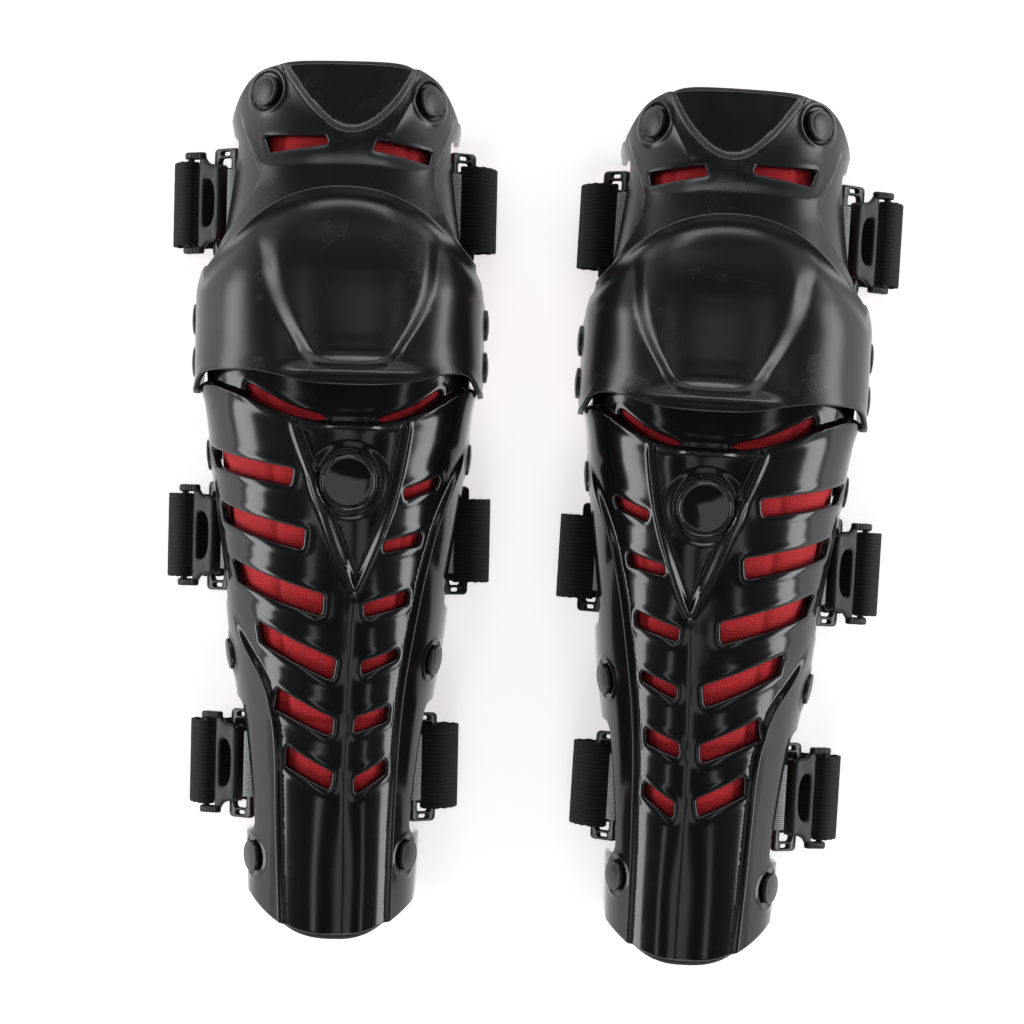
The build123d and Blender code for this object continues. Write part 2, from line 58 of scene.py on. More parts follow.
PLACE = {"right": (-108.67, 7.29, -1.2, 1), "left": (97.63, -7.51, -3.6, -1)}


def table_fn(table):
    t = sorted(table)
    ys = np.array([p[0] for p in t], float)
    vs = np.array([p[1] for p in t], float)
    d = np.diff(vs) / np.diff(ys)
    m = np.zeros(len(t))
    m[0], m[-1] = d[0], d[-1]
    for i in range(1, len(t) - 1):
        m[i] = 0.0 if d[i - 1] * d[i] <= 0 else 2 * d[i - 1] * d[i] / (d[i - 1] + d[i])

    def f(y):
        y = np.clip(np.asarray(y, float), ys[0], ys[-1])
        i = np.clip(np.searchsorted(ys, y, side="right") - 1, 0, len(ys) - 2)
        h = ys[i + 1] - ys[i]
        s = (y - ys[i]) / h
        return (2 * s**3 - 3 * s**2 + 1) * vs[i] + (s**3 - 2 * s**2 + s) * h * m[i] + (-2 * s**3 + 3 * s**2) * vs[i + 1] + (s**3 - s**2) * h * m[i + 1]

    return f


QUARTER = 95.0      # the arch's half width in the flat (u, y) map, mm


class Arch:
    """A shell's outer face, mapped to a flat sheet: u across (mm along the arch and down the walls), y up the leg."""

    def __init__(self, a, h, w, c, power=2.2):
        self.a, self.h, self.w, self.c, self.k = table_fn(a), table_fn(h), table_fn(w), table_fn(c), 2 / power

    def surf(self, u, y, inset=0.0):
        a, h, w, c = self.a(y) - inset, self.h(y) - inset, self.w(y), self.c(y)
        t = np.clip(np.abs(u) / QUARTER, 0, 1)
        ang = (1 - t) * HALF
        co, si = np.cos(ang), np.sin(ang)
        side = np.where(u < 0, a + c, a - c)
        x = c + np.sign(u) * side * np.maximum(co, 0) ** self.k
        z = w + (h - w) * np.maximum(si, 0) ** self.k
        over = np.maximum(np.abs(u) - QUARTER, 0)
        return np.stack([x, y + 0 * x, z - over], -1)

    def u_of_x(self, x, y, inset=0.0):
        a, c = self.a(y) - inset, self.c(y)
        side = np.where(x < c, a + c, a - c)
        r = np.clip(np.abs(x - c) / side, 0, 1) ** (1 / self.k)
        return np.sign(x - c) * QUARTER * (1 - np.arccos(np.clip(r, 0, 1)) / HALF)

    def u_of_z(self, z, y, s, inset=0.0):
        h, w = self.h(y) - inset, self.w(y)
        v = np.clip((z - w) / (h - w), 0, 1) ** (1 / self.k)
        return s * np.where(z <= w, QUARTER + (w - z), QUARTER * (1 - np.arcsin(np.clip(v, 0, 1)) / HALF))

    def z_of_x(self, x, y):
        return float(self.surf(self.u_of_x(np.array([x]), np.array([y])), np.array([y]))[0, 2])


THIGH, CUP, SHIN = Arch(thigh_a, thigh_h, thigh_w, thigh_c), Arch(cup_a, cup_h, cup_w, cup_c), Arch(shin_a, shin_h, shin_w, shin_c)


# ---------------------------------------------------------------- flat geometry
def resample(points, step, closed=True):
    p = np.array(points, float)
    if closed:
        p = np.vstack([p, p[:1]])
    seg = np.linalg.norm(np.diff(p, axis=0), axis=1)
    keep = np.r_[True, seg > 1e-6]
    p = p[keep]
    seg = np.linalg.norm(np.diff(p, axis=0), axis=1)
    s = np.r_[0, np.cumsum(seg)]
    n = max(3, int(round(s[-1] / step)))
    q = np.linspace(0, s[-1], n + 1)
    out = np.stack([np.interp(q, s, p[:, 0]), np.interp(q, s, p[:, 1])], -1)
    return out[:-1] if closed else out


def soften(points, times=2, closed=True, share=0.25):
    p = np.array(points, float)
    for _ in range(times):
        q = np.roll(p, -1, 0) if closed else p[1:]
        b = p if closed else p[:-1]
        new = np.stack([b * (1 - share) + q * share, b * share + q * (1 - share)], 1).reshape(-1, 2)
        if not closed:
            new = np.vstack([p[:1], new[1:-1], p[-1:]])
        p = new
    return p


def rounded_quad(quad, r, d, n=5):
    """A convex polygon pulled in by r with its corners rounded to r, then grown by d."""
    p = np.array(quad, float)
    area = 0.5 * np.sum(p[:, 0] * np.roll(p[:, 1], -1) - np.roll(p[:, 0], -1) * p[:, 1])
    if area < 0:
        p = p[::-1]
    e = np.roll(p, -1, 0) - p
    e /= np.linalg.norm(e, axis=1)[:, None]
    nrm = np.stack([e[:, 1], -e[:, 0]], -1)
    core = []
    k = len(p)
    for i in range(k):
        a, b = nrm[i - 1], nrm[i]
        core.append(p[i] - r * (a + b) / (1 + a @ b))
    out = []
    for i in range(k):
        a0 = math.atan2(nrm[i - 1][1], nrm[i - 1][0])
        a1 = math.atan2(nrm[i][1], nrm[i][0])
        while a1 < a0:
            a1 += 2 * math.pi
        for j in range(n + 1):
            a = a0 + (a1 - a0) * j / n
            out.append(core[i] + (r + d) * np.array([math.cos(a), math.sin(a)]))
    return np.array(out)


def inside(P, poly):
    x, y = P[:, 0], P[:, 1]
    a, b = poly, np.roll(poly, -1, 0)
    r = np.zeros(len(P), bool)
    for (x0, y0), (x1, y1) in zip(a, b):
        if y0 == y1:
            continue
        hit = ((y0 > y) != (y1 > y)) & (x < (x1 - x0) * (y - y0) / (y1 - y0) + x0)
        r ^= hit
    return r


def dist_line(P, line, closed=False, reach=None):
    """Distance to a polyline, and the side of it (positive on the right when walking along it)."""
    L = np.vstack([line, line[:1]]) if closed else np.asarray(line, float)
    best = np.full(len(P), 1e9 if reach is None else float(reach))
    side = np.ones(len(P))
    run = len(L) if reach is None else 12
    for k in range(0, len(L) - 1, run):
        part = L[k:k + run + 1]
        if reach is None:
            idx, Q = slice(None), P
        else:
            lo, hi = part.min(0) - reach, part.max(0) + reach
            idx = np.nonzero((P[:, 0] >= lo[0]) & (P[:, 0] <= hi[0]) & (P[:, 1] >= lo[1]) & (P[:, 1] <= hi[1]))[0]
            if not len(idx):
                continue
            Q = P[idx]
        bq, sq = best[idx], side[idx]
        for a, b in zip(part[:-1], part[1:]):
            e = b - a
            l2 = e @ e
            if l2 < 1e-12:
                continue
            w = Q - a
            t = np.clip(w @ e / l2, 0, 1)
            d = w - t[:, None] * e
            q = np.sqrt((d**2).sum(1))
            m = q < bq
            bq = np.where(m, q, bq)
            sq = np.where(m, np.where(w[:, 0] * e[1] - w[:, 1] * e[0] >= 0, 1.0, -1.0), sq)
        best[idx], side[idx] = bq, sq
    return best, side


def sdf(P, poly):
    d, _ = dist_line(P, poly, True)
    return np.where(inside(P, poly), -d, d)


def step(lo, hi, v):
    t = np.clip((v - lo) / (hi - lo), 0, 1)
    return t * t * (3 - 2 * t)


def crest(d, soft=0.8):
    return np.sqrt(d * d + soft * soft) - soft


# ---------------------------------------------------------------- writing meshes
def to_world(P, side):
    px, py, ang, s = PLACE[side]
    a = math.radians(ang)
    x, y, z = P[:, 0] * s, P[:, 1], P[:, 2]
    return np.stack([px + x * math.cos(a) - y * math.sin(a), py + x * math.sin(a) + y * math.cos(a), z], -1) * 0.001


def turn(N, side):
    a = math.radians(PLACE[side][2])
    x, y, z = N[:, 0] * PLACE[side][3], N[:, 1], N[:, 2]
    return np.stack([x * math.cos(a) - y * math.sin(a), x * math.sin(a) + y * math.cos(a), z], -1)


def emit(name, verts, faces, body, mats, replaces=(), uv=None, normals=None, mat_index=None, bevel=None, sub=0):
    """Writes one piece for both guards; the left one is the mirror image."""
    out = []
    verts = np.asarray(verts, float)
    for side in ("right", "left"):
        W = to_world(verts, side)
        F = [tuple(f) for f in faces] if side == "right" else [tuple(reversed(f)) for f in faces]
        me = bpy.data.meshes.new(side + "_" + name)
        me.from_pydata(W.tolist(), [], F)
        me.validate(clean_customdata=False)
        if uv is not None:
            layer = me.uv_layers.new(name="UVMap")
            idx = np.empty(len(me.loops), np.int32)
            me.loops.foreach_get("vertex_index", idx)
            layer.data.foreach_set("uv", (np.asarray(uv, float)[idx] * 0.001).astype(np.float32).ravel())
        me.shade_smooth()
        for m in mats if isinstance(mats, (list, tuple)) else [mats]:
            me.materials.append(m)
        if mat_index is not None:
            me.polygons.foreach_set("material_index", np.asarray(mat_index, np.int32))
        if normals is not None:
            vn = np.empty(len(me.vertices) * 3, np.float32)
            me.vertices.foreach_get("normal", vn)
            vn = vn.reshape(-1, 3).astype(float)
            ok = np.isfinite(normals).all(1)
            vn[ok] = turn(normals[ok], side)
            me.normals_split_custom_set_from_vertices(vn.tolist())
        ob = bpy.data.objects.new(side + "_" + name, me)
        bpy.context.collection.objects.link(ob)
        if bevel:
            b = ob.modifiers.new("bevel", "BEVEL")
            b.width, b.segments, b.limit_method, b.angle_limit = bevel * 0.001, 3, "ANGLE", math.radians(32)
            b.harden_normals = False
        if sub:
            m = ob.modifiers.new("sub", "SUBSURF")
            m.levels = m.render_levels = sub
        if bevel or sub:
            dg = bpy.context.evaluated_depsgraph_get()
            new = bpy.data.meshes.new_from_object(ob.evaluated_get(dg), depsgraph=dg)
            ob.modifiers.clear()
            ob.data = new
            if bevel and not sub:
                new.shade_smooth()
                new.set_sharp_from_angle(angle=math.radians(50))
        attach(ob, side + "_" + body)
        if replaces:
            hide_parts(*[side + "_" + r for r in replaces])
        out.append(ob)
    return out


# ---------------------------------------------------------------- materials
def nodes_of(name):
    m = bpy.data.materials.new(name)
    m.use_nodes = True
    nt = m.node_tree
    return m, nt, nt.nodes["Principled BSDF"], nt.nodes, nt.links


def math_node(nt, op, a, b=None, c=None):
    n = nt.nodes.new("ShaderNodeMath")
    n.operation = op
    for i, v in enumerate((a, b, c)):
        if v is None:
            continue
        if isinstance(v, (int, float)):
            n.inputs[i].default_value = v
        else:
            nt.links.new(v, n.inputs[i])
    return n.outputs[0]


def ramp(nt, fac, stops):
    n = nt.nodes.new("ShaderNodeValToRGB")
    e = n.color_ramp.elements
    while len(e) > 1:
        e.remove(e[-1])
    e[0].position, e[0].color = stops[0][0], (*stops[0][1], 1)
    for p, c in stops[1:]:
        k = e.new(p)
        k.color = (*c, 1)
    nt.links.new(fac, n.inputs["Fac"])
    return n.outputs["Color"]


def noise(nt, vec, scale, detail=3.0, rough=0.55, stretch=None):
    if stretch:
        mp = nt.nodes.new("ShaderNodeMapping")
        mp.inputs["Scale"].default_value = stretch
        nt.links.new(vec, mp.inputs["Vector"])
        vec = mp.outputs["Vector"]
    n = nt.nodes.new("ShaderNodeTexNoise")
    n.inputs["Scale"].default_value = scale
    n.inputs["Detail"].default_value = detail
    n.inputs["Roughness"].default_value = rough
    nt.links.new(vec, n.inputs["Vector"])
    return n.outputs["Fac"]


def coords(nt):
    return nt.nodes.new("ShaderNodeTexCoord").outputs["Object"]


def bump(nt, bsdf, height, distance, strength=1.0, previous=None):
    b = nt.nodes.new("ShaderNodeBump")
    b.inputs["Strength"].default_value = strength
    b.inputs["Distance"].default_value = distance
    nt.links.new(height, b.inputs["Height"])
    if previous is not None:
        nt.links.new(previous, b.inputs["Normal"])
    nt.links.new(b.outputs["Normal"], bsdf.inputs["Normal"])
    return b.outputs["Normal"]


def plastic(name, base, rough_lo, rough_hi, grain, grain_depth, scratch, specular=0.5, wave_depth=0.0):
    """Moulded plastic: fine grain, faint scuffs, dust and a slow waviness."""
    m, nt, p, N, L = nodes_of(name)
    co = coords(nt)
    blotch = noise(nt, co, 28.0, 4.0)
    scuff_a = noise(nt, co, 60.0, 2.0, 0.5, (1.0, 22.0, 6.0))
    scuff_b = noise(nt, co, 75.0, 2.0, 0.5, (20.0, 1.4, 5.0))
    sa = math_node(nt, "SMOOTH_MIN", math_node(nt, "ABSOLUTE", math_node(nt, "SUBTRACT", scuff_a, 0.5)), 0.02, 0.01)
    sb = math_node(nt, "SMOOTH_MIN", math_node(nt, "ABSOLUTE", math_node(nt, "SUBTRACT", scuff_b, 0.5)), 0.02, 0.01)
    lines = math_node(nt, "SUBTRACT", 1.0, math_node(nt, "MULTIPLY", math_node(nt, "MINIMUM", sa, sb), 55.0))
    mask = math_node(nt, "GREATER_THAN", noise(nt, co, 38.0, 2.0), 0.60)
    lines = math_node(nt, "MULTIPLY", math_node(nt, "MAXIMUM", lines, 0.0), mask)
    r = math_node(nt, "MULTIPLY_ADD", blotch, rough_hi - rough_lo, rough_lo)
    r = math_node(nt, "MULTIPLY_ADD", lines, scratch, r)
    nt.links.new(r, p.inputs["Roughness"])
    v = nt.nodes.new("ShaderNodeTexVoronoi")
    v.inputs["Scale"].default_value = 170.0
    nt.links.new(co, v.inputs["Vector"])
    dust = math_node(nt, "LESS_THAN", v.outputs["Distance"], 0.035)
    shade = ramp(nt, blotch, [(0.3, tuple(c * 0.8 for c in base)), (0.7, tuple(c * 1.25 for c in base))])
    mix = nt.nodes.new("ShaderNodeMix")
    mix.data_type = "RGBA"
    mix.inputs["B"].default_value = (0.10, 0.10, 0.105, 1)
    nt.links.new(math_node(nt, "MULTIPLY", dust, 0.55), mix.inputs["Factor"])
    nt.links.new(shade, mix.inputs["A"])
    nt.links.new(mix.outputs["Result"], p.inputs["Base Color"])
    p.inputs["Specular IOR Level"].default_value = specular
    g = noise(nt, co, grain, 2.0, 0.6)
    h = math_node(nt, "MULTIPLY", lines, -0.35)
    n1 = bump(nt, p, math_node(nt, "ADD", g, h), grain_depth)
    if wave_depth:
        bump(nt, p, noise(nt, co, 55.0, 1.0, 0.4), wave_depth, 1.0, n1)
    return m


gloss = plastic("gloss_black_plastic", (0.0042, 0.0042, 0.0048), 0.10, 0.17, 1500.0, 0.0000020, 0.12, 0.5, 0.00004)
satin = plastic("satin_black_plastic", (0.0062, 0.0063, 0.0070), 0.20, 0.28, 3200.0, 0.000026, 0.10, 0.46)
cap_mat = plastic("cap_black_plastic", (0.0070, 0.0070, 0.0078), 0.27, 0.40, 2600.0, 0.000024, 0.12, 0.5)
badge_mat = plastic("badge_gloss_black", (0.0040, 0.0040, 0.0045), 0.03, 0.07, 1500.0, 0.0000010, 0.08, 0.6)
buckle_mat = plastic("buckle_black_plastic", (0.0070, 0.0071, 0.0078), 0.30, 0.44, 2400.0, 0.000035, 0.14, 0.34)
ring_mat = plastic("ring_black_plastic", (0.0080, 0.0080, 0.0088), 0.22, 0.36, 2600.0, 0.000022, 0.14, 0.5)
washer_mat = plastic("washer_grey_plastic", (0.030, 0.030, 0.031), 0.4, 0.55, 2400.0, 0.00003, 0.1, 0.4)


def uv_vec(nt, sx=1.0, sy=1.0):
    t = nt.nodes.new("ShaderNodeUVMap")
    t.uv_map = "UVMap"
    mp = nt.nodes.new("ShaderNodeMapping")
    mp.inputs["Scale"].default_value = (sx, sy, 1.0)
    nt.links.new(t.outputs["UV"], mp.inputs["Vector"])
    return mp.outputs["Vector"]


def red_mesh():
    """Knitted spacer mesh: rows of small oval holes between thick red yarns."""
    m, nt, p, N, L = nodes_of("red_spacer_mesh")
    v = nt.nodes.new("ShaderNodeTexVoronoi")
    v.feature = "F1"
    v.inputs["Scale"].default_value = 1.0
    v.inputs["Randomness"].default_value = 0.12
    L.new(uv_vec(nt, 840.0, 700.0), v.inputs["Vector"])
    d = v.outputs["Distance"]
    yarn = noise(nt, coords(nt), 2600.0, 2.0)
    tone = noise(nt, coords(nt), 30.0, 3.0)
    hole = math_node(nt, "SMOOTHSTEP" if False else "LESS_THAN", d, 0.27)
    soft = math_node(nt, "MULTIPLY_ADD", yarn, 0.16, d)
    col = ramp(nt, soft, [(0.16, (0.20, 0.006, 0.008)), (0.34, (0.44, 0.014, 0.019)), (0.52, (0.70, 0.028, 0.036)), (0.85, (0.80, 0.040, 0.050))])
    mix = nt.nodes.new("ShaderNodeMix")
    mix.data_type = "RGBA"
    mix.blend_type = "MULTIPLY"
    mix.inputs["Factor"].default_value = 0.45
    L.new(col, mix.inputs["A"])
    L.new(ramp(nt, tone, [(0.3, (0.62, 0.62, 0.62)), (0.7, (1.0, 1.0, 1.0))]), mix.inputs["B"])
    L.new(mix.outputs["Result"], p.inputs["Base Color"])
    L.new(math_node(nt, "MULTIPLY_ADD", yarn, 0.25, 0.62), p.inputs["Roughness"])
    p.inputs["Sheen Weight"].default_value = 0.35
    p.inputs["Sheen Roughness"].default_value = 0.45
    p.inputs["Sheen Tint"].default_value = (1.0, 0.45, 0.45, 1)
    p.inputs["Specular IOR Level"].default_value = 0.25
    h = math_node(nt, "MINIMUM", math_node(nt, "MULTIPLY_ADD", yarn, 0.22, d), 0.62)
    bump(nt, p, h, 0.00045)
    return m


def webbing(name, dark, light, rib_x, rib_y, rough=0.75, sheen=0.3, depth=0.00045, fuzz=0.0):
    """Woven tape: ribs along it, crossed by picks, with loose fibres."""
    m, nt, p, N, L = nodes_of(name)
    wx = nt.nodes.new("ShaderNodeTexWave")
    wx.wave_type, wx.bands_direction, wx.wave_profile = "BANDS", "X", "SIN"
    wx.inputs["Scale"].default_value = 1.0
    L.new(uv_vec(nt, rib_x, rib_x), wx.inputs["Vector"])
    wy = nt.nodes.new("ShaderNodeTexWave")
    wy.wave_type, wy.bands_direction, wy.wave_profile = "BANDS", "Y", "SIN"
    wy.inputs["Scale"].default_value = 1.0
    L.new(uv_vec(nt, rib_y, rib_y), wy.inputs["Vector"])
    fibre = noise(nt, coords(nt), 3800.0, 3.0, 0.65)
    tone = noise(nt, coords(nt), 45.0, 3.0)
    weave = math_node(nt, "MULTIPLY", wx.outputs["Fac"], math_node(nt, "MULTIPLY_ADD", wy.outputs["Fac"], 0.5, 0.5))
    h = math_node(nt, "MULTIPLY_ADD", fibre, 0.35 + fuzz, math_node(nt, "MULTIPLY_ADD", tone, 0.15, weave))
    L.new(ramp(nt, h, [(0.25, dark), (1.15, light)]), p.inputs["Base Color"])
    L.new(math_node(nt, "MULTIPLY_ADD", fibre, 0.2, rough - 0.1), p.inputs["Roughness"])
    p.inputs["Sheen Weight"].default_value = sheen
    p.inputs["Sheen Roughness"].default_value = 0.4
    p.inputs["Specular IOR Level"].default_value = 0.22
    bump(nt, p, h, depth)
    return m


mesh_red = red_mesh()
elastic = webbing("black_elastic", (0.0018, 0.0018, 0.0020), (0.0095, 0.0095, 0.0102), 150.0, 420.0, 0.9, 0.05, 0.00040, 0.5)
grey_web = webbing("silver_grey_webbing", (0.10, 0.105, 0.11), (0.50, 0.51, 0.53), 300.0, 420.0, 0.6, 0.3, 0.00050)
binding = webbing("black_binding_tape", (0.004, 0.004, 0.0045), (0.026, 0.026, 0.028), 420.0, 520.0, 0.8, 0.2, 0.00030)
thread = webbing("black_thread", (0.006, 0.006, 0.0065), (0.045, 0.045, 0.048), 900.0, 900.0, 0.65, 0.2, 0.00010)
red_thread = webbing("red_thread", (0.14, 0.004, 0.006), (0.46, 0.014, 0.02), 900.0, 900.0, 0.65, 0.2, 0.00010)


# ---------------------------------------------------------------- shells
def merge_points(groups, closeness):
    """Keeps points in order of importance, dropping any that crowd one already kept. Loops are kept whole."""
    kept, kinds = [], []
    cells = {}
    size = max(closeness)

    def near(p, gap):
        cx, cy = int(p[0] // size), int(p[1] // size)
        for i in (cx - 1, cx, cx + 1):
            for j in (cy - 1, cy, cy + 1):
                for q in cells.get((i, j), ()):
                    if (p[0] - q[0]) ** 2 + (p[1] - q[1]) ** 2 < gap * gap:
                        return True
        return False

    for points, gap in zip(groups, closeness):
        for p in points:
            p = (float(p[0]), float(p[1]))
            if gap and near(p, gap):
                continue
            cells.setdefault((int(p[0] // size), int(p[1] // size)), []).append(p)
            kept.append(p)
    return kept


def make_shell(name, arch, outline, vents, creases, disp, body, mat, replaces, grid=1.7, thick=SHELL, lip=3.8, edge_r=1.1, extra=(), bead=0.2, inner_low=-9.0):
    """A moulded shell cut to an outline with vents, in the flat (u, y) map, raised by disp, with rolled edges and a wall."""
    loop = resample(outline, 1.3)
    if 0.5 * np.sum(loop[:, 0] * np.roll(loop[:, 1], -1) - np.roll(loop[:, 0], -1) * loop[:, 1]) < 0:
        loop = loop[::-1]
    holes = [resample(rounded_quad(v, r, 0.0), 0.9) for v, r in vents]
    loops = [loop] + holes
    n_loop = sum(len(l) for l in loops)
    rings, wide = [], []
    for d in (0.16, 0.36, 0.62, 0.95, 1.35, 1.9, 2.6, 3.4, 4.4):
        t = np.roll(loop, -1, 0) - np.roll(loop, 1, 0)
        t /= np.linalg.norm(t, axis=1)[:, None]
        q = loop + d * np.stack([-t[:, 1], t[:, 0]], -1)
        q = q[inside(q, loop)]
        dd, _ = dist_line(q, loop, True)
        rings.append(q[dd > d * 0.93])
        for v, r in vents:
            q = resample(rounded_quad(v, r, d), 0.8 + 0.1 * d)
            rings.append(q)
    rings = np.vstack(rings)
    for line in creases:
        line = resample(line, 0.9, closed=False)
        t = np.gradient(line, axis=0)
        t /= np.linalg.norm(t, axis=1)[:, None]
        nn = np.stack([-t[:, 1], t[:, 0]], -1)
        for d in (0, 0.6, -0.6, 1.2, -1.2, 1.9, -1.9, 2.8, -2.8, 3.8, -3.8):
            wide.append(line + d * nn)
    wide = np.vstack(wide + list(extra)) if wide or len(extra) else np.zeros((0, 2))
    lo, hi = loop.min(0), loop.max(0)
    gx, gy = np.meshgrid(np.arange(lo[0], hi[0], grid), np.arange(lo[1], hi[1], grid * 0.866))
    gx = gx + (np.arange(gy.shape[0]) % 2)[:, None] * grid / 2
    G = np.stack([gx.ravel(), gy.ravel()], -1)
    blocks = []
    for pts in (rings, wide, G):
        ok = inside(pts, loop)
        for h in holes:
            ok &= ~inside(pts, h)
        blocks.append(pts[ok])
    pts = merge_points([np.vstack(loops)] + blocks, [0.0, 0.15, 0.42, grid * 0.62])
    edges, k = [], 0
    for l in loops:
        edges += [(k + i, k + (i + 1) % len(l)) for i in range(len(l))]
        k += len(l)
    v2, e2, f2, ov, oe, of_ = delaunay_2d_cdt([Vector(p) for p in pts], edges, [], 0, 1e-5)
    P = np.array([tuple(v) for v in v2])
    F = np.array([f for f in f2 if len(f) == 3])
    C = P[F].mean(1)
    ok = inside(C, loop)
    for h in holes:
        ok &= ~inside(C, h)
    F = F[ok]
    used = np.unique(F)
    remap = -np.ones(len(P), int)
    remap[used] = np.arange(len(used))
    P, F = P[used], remap[F]
    T = P[F]
    flip = (T[:, 1, 0] - T[:, 0, 0]) * (T[:, 2, 1] - T[:, 0, 1]) - (T[:, 1, 1] - T[:, 0, 1]) * (T[:, 2, 0] - T[:, 0, 0]) < 0
    F[flip] = F[flip][:, ::-1]

    def edge_dist(Q):
        d, _ = dist_line(Q, loop, True, 8.0)
        for h in holes:
            dh, _ = dist_line(Q, h, True, 8.0)
            d = np.minimum(d, dh)
        return d

    def vent_dist(Q):
        d = np.full(len(Q), 12.0)
        for h in holes:
            dh, _ = dist_line(Q, h, True, 12.0)
            d = np.minimum(d, dh)
        return d

    def base_normal(Q):
        e = 0.25
        u, y = Q[:, 0], Q[:, 1]
        du = arch.surf(u + e, y) - arch.surf(u - e, y)
        dy = arch.surf(u, y + e) - arch.surf(u, y - e)
        n = np.cross(du, dy)
        return n / np.linalg.norm(n, axis=1)[:, None]

    def outer(Q):
        S = arch.surf(Q[:, 0], Q[:, 1])
        d = edge_dist(Q)
        r = edge_r
        x = np.clip(r - d, 0, r)
        drop = r - np.sqrt(np.maximum(r * r - x * x, 0))
        h = disp(Q, S)
        if holes:
            dv = vent_dist(Q)
            h = h + bead * np.exp(-(((dv - 2.6) / 2.0) ** 2)) - 0.15 * np.exp(-((dv / 1.2) ** 2))
        return S + base_normal(Q) * (h - drop)[:, None], h

    O, h = outer(P)
    N0 = base_normal(P)
    e = 0.12
    ux, _ = outer(P + [e, 0])
    um, _ = outer(P - [e, 0])
    yx, _ = outer(P + [0, e])
    ym, _ = outer(P - [0, e])
    N = np.cross(ux - um, yx - ym)
    N /= np.linalg.norm(N, axis=1)[:, None]
    edge_count = {}
    for f in F:
        for i in range(3):
            a, b = int(f[i]), int(f[(i + 1) % 3])
            edge_count[(a, b)] = edge_count.get((a, b), 0) + 1
    rim = [(a, b) for (a, b) in edge_count if (b, a) not in edge_count]
    on_rim = np.zeros(len(P), bool)
    for a, b in rim:
        on_rim[a] = on_rim[b] = True
    vd = vent_dist(P) if holes else np.full(len(P), 1e9)
    vent_rim = on_rim & (vd < 0.5)
    depth = np.where(vent_rim, lip, thick)
    # the rolled edge's own normal leans over the edge
    I = O + N0 * 0
    S = arch.surf(P[:, 0], P[:, 1])
    I = S + N0 * (np.clip(h, inner_low, 0.6) - depth)[:, None]
    n = len(P)
    M = S + N0 * (h - np.where(vent_rim, lip, thick) + 0.35)[:, None]
    verts = np.vstack([O, I, M])
    faces = [tuple(int(i) for i in f) for f in F] + [(int(f[2]) + n, int(f[1]) + n, int(f[0]) + n) for f in F]
    for a, b in rim:
        faces.append((b, a, a + 2 * n, b + 2 * n))
        faces.append((b + 2 * n, a + 2 * n, a + n, b + n))
    used = np.zeros(len(verts), bool)
    for f in faces:
        used[list(f)] = True
    remap = -np.ones(len(verts), int)
    remap[used] = np.arange(used.sum())
    faces = [tuple(int(remap[i]) for i in f) for f in faces]
    normals = np.full((len(verts), 3), np.nan)
    keep = ~on_rim
    normals[:n][keep] = N[keep]
    uv = np.vstack([P, P, P])[used]
    return emit(name, verts[used], faces, body, mat, replaces, uv=uv, normals=normals[used])


def side_loop(arch, points, s, step_mm=1.2, inset=0.0):
    """Turns (y, z) points down one side into the flat map."""
    q = resample(points, step_mm, closed=False)
    return np.stack([arch.u_of_z(q[:, 1], q[:, 0], s, inset), q[:, 0]], -1)


def flat_of(arch, pts):
    p = np.array(pts, float)
    return np.stack([arch.u_of_x(p[:, 0], p[:, 1]), p[:, 1]], -1)


def notch(q, up):
    ys, top, zs = stations[q]
    pts = [(ys - NOTCH, 0), (ys - NOTCH + 0.6, top - 7), (ys - NOTCH + 3, top - 2), (ys - NOTCH + 7, top), (ys + NOTCH - 7, top), (ys + NOTCH - 3, top - 2), (ys + NOTCH - 0.6, top - 7), (ys + NOTCH, 0)]
    return pts if up else pts[::-1]


def arc(cx, cy, r, a0, a1, n=14):
    return [(cx + r * math.cos(math.radians(a0 + (a1 - a0) * i / n)), cy + r * math.sin(math.radians(a0 + (a1 - a0) * i / n))) for i in range(n + 1)]


# --- shin
shin_vents = [
    [(-69.4, 29.3), (-21.4, 16.9), (-23.0, 7.6), (-65.8, 17.5)],
    [(-63.1, -1.1), (-14.9, -15.3), (-16.3, -26.5), (-61.2, -12.0)],
    [(-56.7, -31.3), (-4.6, -50.1), (-5.3, -62.0), (-52.4, -44.9)],
    [(-41.5, -65.3), (2.7, -84.9), (0.9, -96.7), (-40.2, -77.1)],
    [(-30.7, -101.4), (1.6, -117.1), (0.9, -127.0), (-31.5, -113.2)],
    [(-24.6, -132.8), (1.8, -146.6), (0.2, -156.4), (-25.4, -143.9)],
    [(59.0, 15.6), (38.2, 7.0), (39.0, 1.1), (55.9, 7.6)],
    [(49.1, -15.6), (28.3, -21.2), (27.1, -27.4), (47.3, -23.2)],
    [(42.6, -47.1), (17.8, -54.7), (18.0, -62.0), (41.5, -55.4)],
    [(37.6, -79.0), (17.1, -86.3), (16.6, -93.5), (36.2, -84.9)],
    [(32.7, -109.9), (13.9, -116.5), (12.7, -125.0), (31.9, -118.4)],
    [(31.4, -139.3), (13.8, -149.2), (14.0, -158.4), (31.6, -147.2)],
]
slot_l = [(-49.1, 63.4), (-38.6, 56.9), (-23.3, 49.9), (-4.2, 45.5), (-5.2, 41.9), (-23.2, 45.2), (-38.5, 50.7), (-50.5, 58.0)]
slot_r = [(24.6, 41.9), (24.5, 45.0), (41.7, 49.9), (52.4, 56.4), (58.4, 61.0), (60.1, 57.0), (47.2, 49.0), (36.0, 44.4)]
top_x = np.array([-80, -72.3, -64, -48.9, -28.7, -12.3, 0.2, 20.3, 36.5, 49.9, 60.6, 68.6, 80], float)
top_y = np.array([61.8, 61.8, 60.7, 55.3, 47.2, 42.3, 40.1, 40.1, 43.4, 48.8, 55.3, 60.7, 61.8], float)
